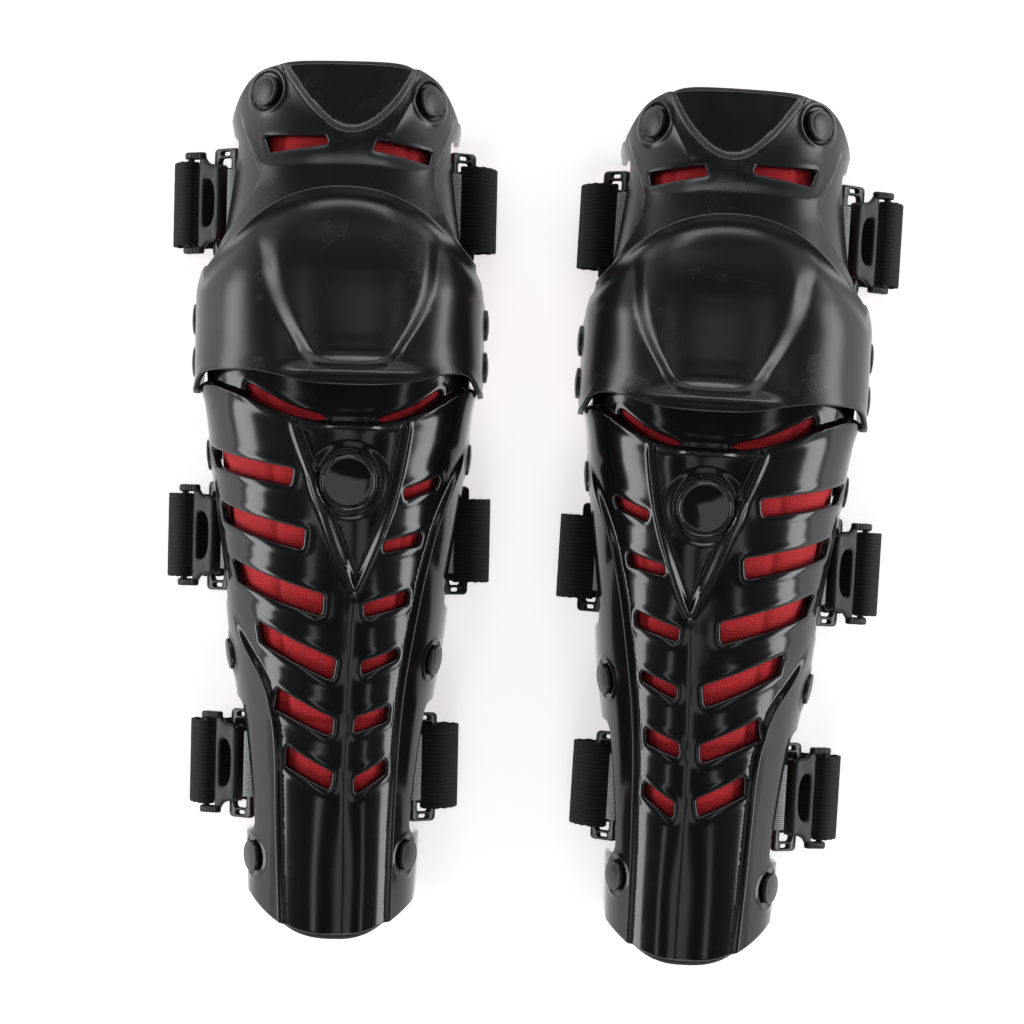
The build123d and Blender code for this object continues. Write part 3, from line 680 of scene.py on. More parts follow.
v_panel = [(-25.5, 50.0), (-23.3, 47.0), (-19.7, 33.6), (-13.4, 17.3), (-5.9, -4.3), (2.7, -28.7), (9.5, -44.0), (12.4, -49.0), (15.5, -44.0), (24.3, -23.3), (33.0, 1.1), (37.9, 25.5), (40.7, 48.8), (41.0, 52.0)]
ridge = [(12.4, -47.7), (10.5, -70), (8.7, -107), (7.5, -156), (7.0, -200), (7.0, -236)]
crease_in = [(69.8, 30.0), (67.0, 20.0), (62.8, 8.1), (58.2, -5.0), (54.4, -17.9), (50.0, -36.0), (46.6, -53.1), (43.6, -70.0), (41.0, -85.6), (38.4, -106.0), (36.6, -126.3), (35.2, -158.8), (34.0, -195.0), (33.4, -234)]
crease_out = [(-56.5, -60.0), (-53.3, -69.4), (-46.6, -82.4), (-38.5, -95.4), (-32.9, -111.0), (-29.8, -131.0), (-28.9, -172.0), (-27.8, -198.0), (-26.0, -234.0)]

end_curve = [(x, -235.5 + 20 * (abs(x - 2) / 47) ** 2.6) for x in np.linspace(-44.4, 45.4, 70)]
shin_side = (
    [(-216.0, 22.0), (-216.2, 4.0), (-214.5, 0.6), (-211, 0)] + notch("lower", True) + notch("middle", True)
    + [(36, 0), (40, 0.8), (64.5, 32.0), (67.0, 33.6)] + arc(pivot_2[0], pivot_2[1], 11.0, 232, 360, 16) + [(85.6, 49), (84.6, 54), (84.2, 60)]
)


def shin_outline():
    bottom = flat_of(SHIN, end_curve)
    right = side_loop(SHIN, soften(shin_side, 1, False), 1)
    left = side_loop(SHIN, soften(shin_side, 1, False), -1)[::-1]
    top = np.stack([np.linspace(right[-1, 0], left[0, 0], 120)[1:-1], np.full(118, 84.2)], -1)
    return np.vstack([bottom, right, top, left])


def round_rows(arch, u0, y0, radii):
    """Rows of points on circles about a place, so that round seats are shaded cleanly."""
    a = arch.surf(np.array([u0 - 0.5]), np.array([y0]))[0]
    b = arch.surf(np.array([u0 + 0.5]), np.array([y0]))[0]
    c = arch.surf(np.array([u0]), np.array([y0 - 0.5]))[0]
    e = arch.surf(np.array([u0]), np.array([y0 + 0.5]))[0]
    ku, ky = np.linalg.norm(b - a), np.linalg.norm(e - c)
    out = []
    for r in radii:
        t = np.linspace(0, 2 * math.pi, max(24, int(2 * math.pi * r / 0.9)), endpoint=False)
        out.append(np.stack([u0 + r * np.cos(t) / ku, y0 + r * np.sin(t) / ky], -1))
    return np.vstack(out)


V_FLAT = soften(flat_of(SHIN, v_panel), 3)
R_FLAT, CI_FLAT, CO_FLAT = flat_of(SHIN, ridge), soften(flat_of(SHIN, crease_in), 2, False), soften(flat_of(SHIN, crease_out), 2, False)
BADGE = (8.4, 10.8)


def shin_disp(Q, S):
    x, y = S[:, 0], S[:, 1]
    d = sdf(Q, V_FLAT)
    fade = 1 - step(37, 46, y)
    h = np.where(d > 0, 0.9 * np.exp(-d / 8.0), 0.9 - 2.6 * step(0.4, 4.4, -d)) * (0.12 + 0.88 * fade) + 0.85 * np.exp(-((d / 1.35) ** 2)) * fade
    dr, _ = dist_line(Q, R_FLAT)
    h = h + 1.2 * np.exp(-crest(dr, 1.6) / 8.5) * step(-44, -58, y) * (1 - step(-150, -205, y) * 0.75)
    di, si = dist_line(Q, CI_FLAT)
    f = step(34, 16, y)
    out = np.where(si > 0, di, -di)
    h = h + f * np.where(out < 0, 1.2 * np.exp(out / 9.0), 1.2 * np.exp(-out / 16.0) - 2.9 * step(0.0, 4.4, out) * np.exp(-out / 26.0))
    do, so = dist_line(Q, CO_FLAT)
    out = np.where(so < 0, do, -do)
    f = step(-60, -76, y)
    h = h + f * np.where(out < 0, 1.2 * np.exp(out / 9.0), 1.2 * np.exp(-out / 16.0) - 2.7 * step(0.0, 4.4, out) * np.exp(-out / 24.0))
    yt = np.interp(x, top_x, top_y)
    g = y - yt
    h = h + np.where(g > 0, -3.4 * step(0.0, 2.2, g) + 1.3 * (1 - step(0, 2.2, g)), 1.3 * np.exp(g / 6.5))
    # badge seat with a raised ring
    r = np.hypot(x - BADGE[0], y - BADGE[1])
    h = h + 1.0 * step(22.5, 17.4, r) - 0.3 * step(17.2, 16.2, r)
    # seats of the rivet caps
    for cx, cy in CAP_XY["shin"]:
        r = np.linalg.norm(S - CAP_POS[(cx, cy)], axis=1)
        h = h - 0.9 * step(11.2, 9.6, r) + 0.45 * np.exp(-(((r - 11.6) / 1.3) ** 2))
    return h


# --- rivet cap places (x, y, wall height or None)
shin_caps = [(-70.0, 24.5, 36.0), (71.0, 24.5, 36.0), (-56.8, -84.6, None), (54.4, -85.6, None), (-42.5, -195.0, None), (42.0, -192.5, None)]
thigh_caps = [(-41.5, 221.0, None), (47.5, 217.0, None)]
CAP_XY = {"shin": [(c[0], c[1]) for c in shin_caps], "thigh": [(c[0], c[1]) for c in thigh_caps]}
CAP_POS, CAP_NRM, CAP_U = {}, {}, {}
for arch_, list_ in ((SHIN, shin_caps), (THIGH, thigh_caps)):
    for cx, cy, cz in list_:
        u = arch_.u_of_z(np.array([cz]), np.array([cy]), 1 if cx > 0 else -1) if cz else arch_.u_of_x(np.array([cx]), np.array([cy]))
        y = np.array([cy], float)
        CAP_POS[(cx, cy)], CAP_U[(cx, cy)] = arch_.surf(u, y)[0], float(u[0])
        du = arch_.surf(u + 0.3, y) - arch_.surf(u - 0.3, y)
        dy = arch_.surf(u, y + 0.3) - arch_.surf(u, y - 0.3)
        nn = np.cross(du, dy)[0]
        CAP_NRM[(cx, cy)] = nn / np.linalg.norm(nn)


def slots_flat(poly):
    return flat_of(SHIN, poly)


def strip_split(poly):
    """The curved knee slots are cut as they are, with small corner rounding."""
    return soften(slots_flat(poly), 2)


shin_quads = [(flat_of(SHIN, v), 1.9) for v in shin_vents]


class Loop:
    pass


_rq = rounded_quad


def rounded_quad(quad, r, d, n=5):
    if r < 0:          # a free loop, grown by shifting its points
        p = np.asarray(quad, float)
        if d == 0:
            return p
        t = np.roll(p, -1, 0) - np.roll(p, 1, 0)
        t /= np.linalg.norm(t, axis=1)[:, None]
        a = 0.5 * np.sum(p[:, 0] * np.roll(p[:, 1], -1) - np.roll(p[:, 0], -1) * p[:, 1])
        s = 1 if a > 0 else -1
        return p + s * d * np.stack([t[:, 1], -t[:, 0]], -1)
    return _rq(quad, r, d, n)


make_shell("shin_shell_moulding", SHIN, shin_outline(), shin_quads + [(strip_split(slot_l), -1), (strip_split(slot_r), -1)],
           [np.vstack([V_FLAT, V_FLAT[:1]]), R_FLAT, CI_FLAT, CO_FLAT, flat_of(SHIN, list(zip(top_x[1:-1], top_y[1:-1])))], shin_disp, "shin", gloss, ["shin_shell"], grid=1.35,
           extra=[round_rows(SHIN, float(SHIN.u_of_x(np.array([BADGE[0]]), np.array([BADGE[1]]))[0]), BADGE[1], np.arange(13.6, 24.5, 0.62))]
           + [round_rows(SHIN, CAP_U[c], c[1], (9.0, 9.6, 10.1, 10.6, 11.1, 11.6, 12.2, 12.9, 13.7)) for c in CAP_XY["shin"]])

# --- knee cup
cup_top = [(x, 168.0 - 40 * (abs(x - 3) / 72) ** 2.2) for x in np.linspace(-72.5, 73.5, 110)]
cup_side = [(126.5, 68.0), (123, 58), (119, 50), (110, 36), (103, 30), (96, 27), (88, 25.2), (80, 24.8), (73, 25.4), (67, 27.5), (61.5, 33), (58.8, 42), (57.4, 52), (57.2, 60)]
cup_bottom = [(-78.0, 57.4), (-76.8, 59.5), (-74.6, 64.5), (-71.5, 67.8), (-66, 69.0), (-45, 69.0), (-36, 67.6), (-27, 65.5), (-14, 62.4), (0, 61.6), (14, 61.4), (28, 61.8), (42, 63.4), (54, 67.3), (62, 68.9), (69, 69.0), (73.5, 66.0), (76, 60.5), (78.0, 57.4)]
bulge = [(-36.5, 142), (-35.4, 128), (-31.0, 110.5), (-23.0, 93.5), (-16.0, 82.5), (-11.5, 75.5), (-5.0, 72.2), (8.0, 71.4), (22.0, 71.9), (29.0, 74.8), (34.0, 81.5), (41.0, 92.0), (47.4, 106.0), (51.0, 126.0), (51.0, 140.0), (43.0, 150.5), (27.0, 158.0), (6.0, 160.5), (-14.0, 158.5), (-29.0, 152.5)]


def cup_outline():
    top = flat_of(CUP, cup_top)
    right = side_loop(CUP, soften(cup_side, 1, False), 1)
    left = side_loop(CUP, soften(cup_side, 1, False), -1)[::-1]
    b = soften(flat_of(CUP, cup_bottom), 1, False)
    return np.vstack([left, top, right, b[::-1][1:-1]])


B_FLAT = soften(flat_of(CUP, bulge), 3)
CUP_EDGE = flat_of(CUP, cup_top)
CUP_LOW = soften(flat_of(CUP, cup_bottom), 1, False)


def cup_disp(Q, S):
    x, y = S[:, 0], S[:, 1]
    d = sdf(Q, B_FLAT)
    low = step(112, 84, y)
    high = step(128, 156, y)
    soft = 5.2 + 6.0 * high - 1.6 * low
    rise = 2.4 + 1.5 * low - 1.5 * high
    h = rise * step(-1.0, 1.0, -d / soft) - 0.7 * np.exp(-((d / 9.0) ** 2)) * (1 - high)
    # the nose over the lower lip
    mid = step(38, 18, np.abs(x - 10))
    h = h + 1.7 * np.exp(-(((y - 79.0) / 5.0) ** 2)) * mid - 1.7 * np.exp(-(((y - 67.6) / 3.4) ** 2)) * step(46, 22, np.abs(x - 10))
    # a low flare along the lower edge, and a thin bead along the upper one
    dl, _ = dist_line(Q, CUP_LOW)
    h = h + 1.0 * np.exp(-((dl / 4.0) ** 2))
    de, _ = dist_line(Q, CUP_EDGE)
    h = h + 0.5 * np.exp(-(((de - 1.6) / 1.5) ** 2)) - 0.7 * np.exp(-(((de - 7.0) / 4.0) ** 2))
    for s in (-1, 1):
        for py, pz in (pivot_1, pivot_2):
            r = np.hypot(y - py, S[:, 2] - pz)
            near = (np.sign(x) == s) & (np.abs(x) > 60)
            h = h + near * (-0.0 * step(11, 9, r) + 0.5 * np.exp(-(((r - 10.8) / 1.3) ** 2)))
    return h


make_shell("knee_cup_moulding", CUP, cup_outline(), [], [np.vstack([B_FLAT, B_FLAT[:1]])], cup_disp, "knee", satin, ["knee_cup"], grid=1.6, edge_r=1.2, inner_low=0.0)

# --- thigh
thigh_vents = [
    [(-41.5, 196.2), (-7.9, 195.7), (-6.2, 190.8), (-38.1, 186.4)],
    [(19.7, 194.0), (48.6, 189.2), (47.1, 181.6), (17.7, 188.1)],
]
thigh_top = [(x, 236.0 - 30 * (abs(x) / 64) ** 7 - 2.2 * (abs(x) / 64) ** 2) for x in np.linspace(-62.2, 62.2, 90)]
ys_, top_, zs_ = stations["upper"]
thigh_side = [(209.5, 34), (208.5, 20), (208.0, 4), (206.5, 0.6), (204, 0)] + notch("upper", False)[:-2] + [(ys_ - NOTCH + 0.5, 38), (ys_ - NOTCH - 0.4, 33.5), (ys_ - NOTCH - 2.6, 30.2), (ys_ - NOTCH - 6.0, 28.6), (ys_ - NOTCH - 9.6, 29.2), (ys_ - NOTCH - 13.0, 31.6), (109.5, 35.2), (105.5, 37.0)] + arc(pivot_1[0], pivot_1[1], 11.0, 308, 180, 14) + [(87.3, 49), (89.6, 53.2), (95.5, 57.2), (103, 59.5), (111, 62.0), (112, 66.0)]
tongue = [(-35.5, 240), (-32.6, 233.1), (-24.2, 220.6), (-15.8, 209.8), (-9.5, 203.0), (-3.0, 198.8), (4.0, 197.0), (11.5, 198.0), (19.6, 202.2), (30.2, 213.5), (39.1, 229.8), (42.0, 240)]
facet_l = [(-60.5, 226.0), (-55.4, 210.8), (-51.3, 197.8), (-44.5, 184.0), (-39.8, 174.5), (-42.6, 169.0), (-52.0, 153.0), (-66.8, 134.0)]
facet_r = [(61.0, 222.0), (59.0, 207.0), (54.0, 193.0), (49.2, 180.0), (49.2, 169.5), (56.0, 152.0), (67.8, 133.0)]
T_FLAT, FL_FLAT, FR_FLAT = soften(flat_of(THIGH, tongue), 2, False), soften(flat_of(THIGH, facet_l), 2, False), soften(flat_of(THIGH, facet_r), 2, False)
side_ridge_l = flat_of(THIGH, [(-19.5, 224), (-2.5, 193)])
side_ridge_r = flat_of(THIGH, [(41.0, 225), (25.0, 193)])


def thigh_outline():
    top = flat_of(THIGH, thigh_top)
    right = side_loop(THIGH, thigh_side, 1)
    left = side_loop(THIGH, thigh_side, -1)[::-1]
    low = np.stack([np.linspace(right[-1, 0], left[0, 0], 100)[1:-1], np.full(98, 112.2)], -1)
    return np.vstack([top, right, low, left])


T_POLY = np.vstack([T_FLAT, [[T_FLAT[-1, 0], 260], [T_FLAT[0, 0], 260]]])


def thigh_disp(Q, S):
    x, y = S[:, 0], S[:, 1]
    d = sdf(Q, T_POLY)
    h = np.where(d > 0, 1.3 * np.exp(-((np.maximum(d, 0) / 5.0) ** 1.3)), 1.3 - 2.9 * step(-0.4, 4.2, -d))
    for line, s in ((FL_FLAT, 1), (FR_FLAT, -1)):
        q, side = dist_line(Q, line)
        out = q * side * s
        f = step(212, 194, y) * step(128, 140, y)
        h = h + f * np.where(out < 0, 1.1 * np.exp(out / 9.0), 1.1 - 4.0 * step(0.0, 4.2, out) + 0.0)
    # a soft ledge under the vents that fades to the cup
    h = h + 0.9 * np.exp(-(((y - (178 - 0.003 * (x - 3) ** 2)) / 7.0) ** 2)) * step(52, 40, np.abs(x - 4))
    for line in (side_ridge_l, side_ridge_r):
        q, _ = dist_line(Q, line)
        h = h + 0.8 * np.exp(-q / 3.5)
    for cx, cy in CAP_XY["thigh"]:
        r = np.linalg.norm(S - CAP_POS[(cx, cy)], axis=1)
        h = h - 1.0 * step(11.4, 9.8, r) + 0.5 * np.exp(-(((r - 12.0) / 1.5) ** 2))
    return np.minimum(h, 0.05 + 1.6 * step(166, 190, y)) - 0.65 * step(140, 127, y)


make_shell("thigh_shell_moulding", THIGH, thigh_outline(), [(flat_of(THIGH, v), 1.3) for v in thigh_vents],
           [T_FLAT, FL_FLAT, FR_FLAT, side_ridge_l, side_ridge_r], thigh_disp, "thigh", satin, ["thigh_shell"], grid=1.6, edge_r=0.8, bead=0.1,
           extra=[round_rows(THIGH, CAP_U[c], c[1], (9.2, 9.8, 10.4, 11.0, 11.6, 12.2, 13.0, 13.9)) for c in CAP_XY["thigh"]])


# ---------------------------------------------------------------- turned pieces
def lathe(profile, pos, axis, n=56):
    """Spins (radius, height) points about an axis at pos."""
    axis = np.array(axis, float)
    axis /= np.linalg.norm(axis)
    a = np.array([0, 1, 0.0]) if abs(axis[1]) < 0.9 else np.array([1.0, 0, 0])
    x = np.cross(a, axis)
    x /= np.linalg.norm(x)
    y = np.cross(axis, x)
    verts, faces, uv = [], [], []
    rows = []
    for r, h in profile:
        if r < 1e-6:
            rows.append([len(verts)])
            verts.append(pos + axis * h)
            uv.append((0, h))
        else:
            rows.append(list(range(len(verts), len(verts) + n)))
            for i in range(n):
                t = 2 * math.pi * i / n
                verts.append(pos + axis * h + r * (x * math.cos(t) + y * math.sin(t)))
                uv.append((r * t, h))
    for A, B in zip(rows[:-1], rows[1:]):
        for i in range(n):
            j = (i + 1) % n
            if len(A) == 1 and len(B) == 1:
                continue
            if len(A) == 1:
                faces.append((A[0], B[j], B[i]))
            elif len(B) == 1:
                faces.append((A[i], A[j], B[0]))
            else:
                faces.append((A[i], A[j], B[j], B[i]))
    return np.array(verts), faces, np.array(uv)


def join(parts):
    V, F, U, k = [], [], [], 0
    for v, f, u in parts:
        V.append(v)
        U.append(u)
        F += [tuple(i + k for i in q) for q in f]
        k += len(v)
    return np.vstack(V), F, np.vstack(U)


def smooth_profile(points, n=4):
    p = soften(np.array(points, float), 2, False, 0.2)
    return [tuple(q) for q in p]


cap_profile = smooth_profile([(3.0, -5.6), (3.0, -0.4), (8.35, -0.4), (8.5, 0.0), (8.5, 1.5), (8.2, 2.0), (7.4, 2.25), (6.9, 2.1), (6.6, 2.15), (5.0, 2.55), (2.5, 2.8), (0.0, 2.85)])
for key, arch_, body in (("shin", SHIN, "shin"), ("thigh", THIGH, "thigh")):
    parts = [lathe(cap_profile, CAP_POS[c], CAP_NRM[c]) for c in CAP_XY[key]]
    v, f, u = join(parts)
    emit(key + "_cap_rivets", v, f, body, cap_mat, [key + "_rivet_caps"], uv=u)
    wp = smooth_profile([(3.05, -4.4), (3.05, -3.5), (5.0, -3.45), (5.2, -3.7), (5.2, -4.2), (4.8, -4.45), (3.05, -4.4)])
    v, f, u = join([lathe(wp[:-1] + [wp[0]], CAP_POS[c], CAP_NRM[c], 40) for c in CAP_XY[key]])
    emit(key + "_back_washers", v, f, body, washer_mat, [key + "_rivet_washers"], uv=u)

pivot_profile = smooth_profile([(0.0, -8.2), (6.4, -8.1), (7.0, -7.6), (7.0, -6.4), (6.6, -6.1), (4.0, -6.1), (4.0, 0.05), (8.3, 0.08), (8.5, 0.3), (8.5, 1.5), (8.1, 2.1), (7.2, 2.4), (6.7, 2.25), (6.3, 2.3), (4.5, 2.8), (2.0, 3.0), (0.0, 3.02)])
for name, p in (("pivot_rivets_upper", pivot_1), ("pivot_rivets_lower", pivot_2)):
    v, f, u = join([lathe(pivot_profile, np.array([s * 78.2, p[0], p[1]]), (s, 0, 0)) for s in (-1, 1)])
    emit(name.replace("rivets", "buttons"), v, f, "knee", cap_mat, [name], uv=u)

bu = SHIN.u_of_x(np.array([BADGE[0]]), np.array([BADGE[1]]))
by = np.array([BADGE[1]])
bpos = SHIN.surf(bu, by)[0]
bn = np.cross(SHIN.surf(bu + 0.3, by) - SHIN.surf(bu - 0.3, by), SHIN.surf(bu, by + 0.3) - SHIN.surf(bu, by - 0.3))[0]
bn /= np.linalg.norm(bn)
badge_profile = smooth_profile([(0.0, -1.6), (15.2, -1.6), (15.5, -1.3), (15.5, 0.5), (15.2, 1.05), (14.6, 1.25), (13.9, 1.1), (13.5, 0.75), (12.8, 0.68), (9.0, 0.80), (4.0, 0.92), (0.0, 0.95)])
v, f, u = lathe(badge_profile, bpos, bn, 96)
emit("shin_badge_disc", v, f, "shin", badge_mat, ["shin_badge"], uv=u)


# ---------------------------------------------------------------- liners
def make_pad(name, arch, outline, inset_out, inset_in, seams, body, replaces, grid=2.6, roll=4.5, tube=True):
    """A foam liner in red mesh: two faces that meet in a rounded edge, sewn channels, and a black bound edge."""
    loop = resample(outline, 2.2)
    if 0.5 * np.sum(loop[:, 0] * np.roll(loop[:, 1], -1) - np.roll(loop[:, 0], -1) * loop[:, 1]) < 0:
        loop = loop[::-1]
    rings = []
    for d in (0.5, 1.3, 2.5, 4.0):
        t = np.roll(loop, -1, 0) - np.roll(loop, 1, 0)
        t /= np.linalg.norm(t, axis=1)[:, None]
        q = loop + d * np.stack([-t[:, 1], t[:, 0]], -1)
        q = q[inside(q, loop)]
        dd, _ = dist_line(q, loop, True)
        rings.append(q[dd > d * 0.9])
    for line in seams:
        line = resample(line, 2.0, closed=False)
        t = np.gradient(line, axis=0)
        t /= np.linalg.norm(t, axis=1)[:, None]
        nn = np.stack([-t[:, 1], t[:, 0]], -1)
        for d in (0, 1.0, -1.0, 2.4, -2.4):
            rings.append(line + d * nn)
    rings = np.vstack(rings)
    lo, hi = loop.min(0), loop.max(0)
    gx, gy = np.meshgrid(np.arange(lo[0], hi[0], grid), np.arange(lo[1], hi[1], grid * 0.866))
    gx = gx + (np.arange(gy.shape[0]) % 2)[:, None] * grid / 2
    G = np.stack([gx.ravel(), gy.ravel()], -1)
    rings, G = rings[inside(rings, loop)], G[inside(G, loop)]
    pts = merge_points([loop, rings, G], [0.0, 0.6, grid * 0.62])
    edges = [(i, (i + 1) % len(loop)) for i in range(len(loop))]
    v2, e2, f2, *_ = delaunay_2d_cdt([Vector(p) for p in pts], edges, [], 0, 1e-5)
    P = np.array([tuple(v) for v in v2])
    F = np.array([f for f in f2 if len(f) == 3])
    F = F[inside(P[F].mean(1), loop)]
    T = P[F]
    flip = (T[:, 1, 0] - T[:, 0, 0]) * (T[:, 2, 1] - T[:, 0, 1]) - (T[:, 1, 1] - T[:, 0, 1]) * (T[:, 2, 0] - T[:, 0, 0]) < 0
    F[flip] = F[flip][:, ::-1]
    d, _ = dist_line(P, loop, True, 12.0)
    x = np.clip(roll - d, 0, roll)
    full = np.sqrt(np.maximum(roll * roll - x * x, 0)) / roll
    pinch = np.zeros(len(P))
    for line in seams:
        q, _ = dist_line(P, line, False, 12.0)
        pinch = np.maximum(pinch, np.exp(-((q / 2.6) ** 2)))
    crown = 1.0 + 0.0 * d
    mid, half = (inset_out + inset_in) / 2, (inset_in - inset_out) / 2
    S = arch.surf(P[:, 0], P[:, 1])
    du = arch.surf(P[:, 0] + 0.3, P[:, 1]) - arch.surf(P[:, 0] - 0.3, P[:, 1])
    dy = arch.surf(P[:, 0], P[:, 1] + 0.3) - arch.surf(P[:, 0], P[:, 1] - 0.3)
    N = np.cross(du, dy)
    N /= np.linalg.norm(N, axis=1)[:, None]
    wav = 0.35 * np.sin(P[:, 0] * 0.21 + 1.3) * np.sin(P[:, 1] * 0.17)
    top = S + N * (-mid + half * full * (1 - 0.42 * pinch) + np.minimum(wav, 0) * full)[:, None]
    bot = S + N * (-mid - half * full * (1 - 0.62 * pinch) + wav * full * 0.8)[:, None]
    rim = np.zeros(len(P), bool)
    rim[d < 1e-4] = True
    n = len(P)
    idx = np.arange(n)
    bidx = np.where(rim, idx, idx + n)
    V = np.vstack([top, bot])
    V[:n][rim] = (S + N * (-mid))[rim]
    faces = [tuple(int(i) for i in f) for f in F] + [(int(bidx[f[2]]), int(bidx[f[1]]), int(bidx[f[0]])) for f in F]
    used = np.zeros(len(V), bool)
    for f in faces:
        used[list(f)] = True
    remap = -np.ones(len(V), int)
    remap[used] = np.arange(used.sum())
    faces = [tuple(int(remap[i]) for i in f) for f in faces]
    emit(name, V[used], faces, body, mesh_red, replaces, uv=np.vstack([P, P])[used])
    if tube:
        # binding: a flat tape folded over the edge
        L = resample(loop, 2.2)
        Sx = arch.surf(L[:, 0], L[:, 1])
        du = arch.surf(L[:, 0] + 0.3, L[:, 1]) - arch.surf(L[:, 0] - 0.3, L[:, 1])
        dy = arch.surf(L[:, 0], L[:, 1] + 0.3) - arch.surf(L[:, 0], L[:, 1] - 0.3)
        Nn = np.cross(du, dy)
        Nn /= np.linalg.norm(Nn, axis=1)[:, None]
        C = Sx - Nn * mid
        Tn = np.roll(C, -1, 0) - np.roll(C, 1, 0)
        Tn /= np.linalg.norm(Tn, axis=1)[:, None]
        B = np.cross(Nn, Tn)
        section = [(-5.2, 2.5), (-3.2, 3.0), (-1.0, 2.7), (0.5, 1.6), (0.95, 0.0), (0.5, -1.6), (-1.0, -2.7), (-3.2, -3.0), (-5.2, -2.5)]
        m = len(section)
        verts, faces, uv = [], [], []
        run = np.r_[0, np.cumsum(np.linalg.norm(np.diff(C, axis=0), axis=1))]
        for i in range(len(C)):
            pk = 1 + 0.03 * math.sin(i * 1.9)
            for j, (b, h) in enumerate(section):
                verts.append(C[i] - B[i] * b * 1.0 + Nn[i] * h * pk)
                uv.append((j * 1.4, run[i]))
        k = len(C)
        for i in range(k):
            a, b = i * m, ((i + 1) % k) * m
            for j in range(m - 1):
                faces.append((a + j, b + j, b + j + 1, a + j + 1))
            faces.append((a + m - 1, b + m - 1, b, a))
        emit(name + "_binding", np.array(verts), faces, body, binding, uv=np.array(uv))
    return P


def pad_side(points, arch, s, inset):
    return side_loop(arch, points, s, 2.0, inset)


shin_pad_side = [(-223, 20), (-223, 9), (-220, 6.5), (-214, 6), (-180, 6), (-178, 9), (-176, 24), (-170, 27), (-120, 27), (-114, 24), (-112, 9), (-110, 6), (-55, 6), (-53, 9), (-51, 22), (-45, 25), (5, 25), (11, 22), (13, 9), (15, 6), (24, 6), (29, 8), (50, 36), (55, 60), (62, 66), (78, 70)]
shin_pad_end = [(x, -238.5 + 15 * (abs(x - 2) / 42) ** 2.6) for x in np.linspace(-39, 41, 50)]
sp = np.vstack([flat_of(SHIN, shin_pad_end), pad_side(shin_pad_side, SHIN, 1, 9.5), np.stack([np.linspace(70, -70, 60), np.full(60, 79.0)], -1), pad_side(shin_pad_side, SHIN, -1, 9.5)[::-1]])
shin_seams = [np.array([[u, -232], [u * 1.02, 74]], float) for u in (-34, 34)] + [np.array([[u, -205], [u * 1.05, 20]], float) for u in (-72, 72)] + [np.array([[-92, y], [92, y]], float) for y in (-205, -120, -30, 46)]
make_pad("shin_liner", SHIN, sp, 6.3, 12.7, shin_seams, "shin", ["shin_pad"])

thigh_pad_side = [(212, 22), (212, 9), (209, 6.5), (204, 6), (202, 9), (200, 26), (194, 30), (134, 30), (130, 44), (124, 58), (118, 66), (117, 70)]
thigh_pad_top = [(x, 238.6 - 26 * (abs(x) / 58) ** 7) for x in np.linspace(-53.5, 53.5, 60)]
tp = np.vstack([flat_of(THIGH, thigh_pad_top), pad_side(thigh_pad_side, THIGH, 1, 9.5), np.stack([np.linspace(70, -70, 60), np.full(60, 116.5)], -1), pad_side(thigh_pad_side, THIGH, -1, 9.5)[::-1]])
thigh_seams = [np.array([[u, 120], [u, 232]], float) for u in (-34, 34)] + [np.array([[-80, y], [80, y]], float) for y in (146, 205)]
make_pad("thigh_liner", THIGH, tp, 5.6, 12.7, thigh_seams, "thigh", ["thigh_pad"])

kz = 70.0
kl = [(u, y) for u, y in ((-72, 86), (72, 86), (72, 110.5), (-72, 110.5))]
kp = resample(kl, 2.0)
make_pad("knee_cushion", CUP, kp, 4.2, 16.4, [np.array([[-60, 98.3], [60, 98.3]], float)], "knee", ["knee_pad"], roll=6.0, tube=False)


# ---------------------------------------------------------------- strap hardware
def half_width(q):
    return float((THIGH if q == "upper" else SHIN).a(stations[q][0]))


def bar_1(q):
    return (-(half_width(q) - 5.5), stations[q][2] + 8.0)


def bar_2(q):
    return (-(half_width(q) - 5.5) - 9.9, stations[q][2])


RISE = math.radians(30)


def buckle_frame(q):
    c, s = math.cos(RISE), math.sin(RISE)
    x2, z2 = bar_2(q)
    return (x2 - 15 * c - 5 * s, z2 - 15 * s + 5 * c), (c, s)


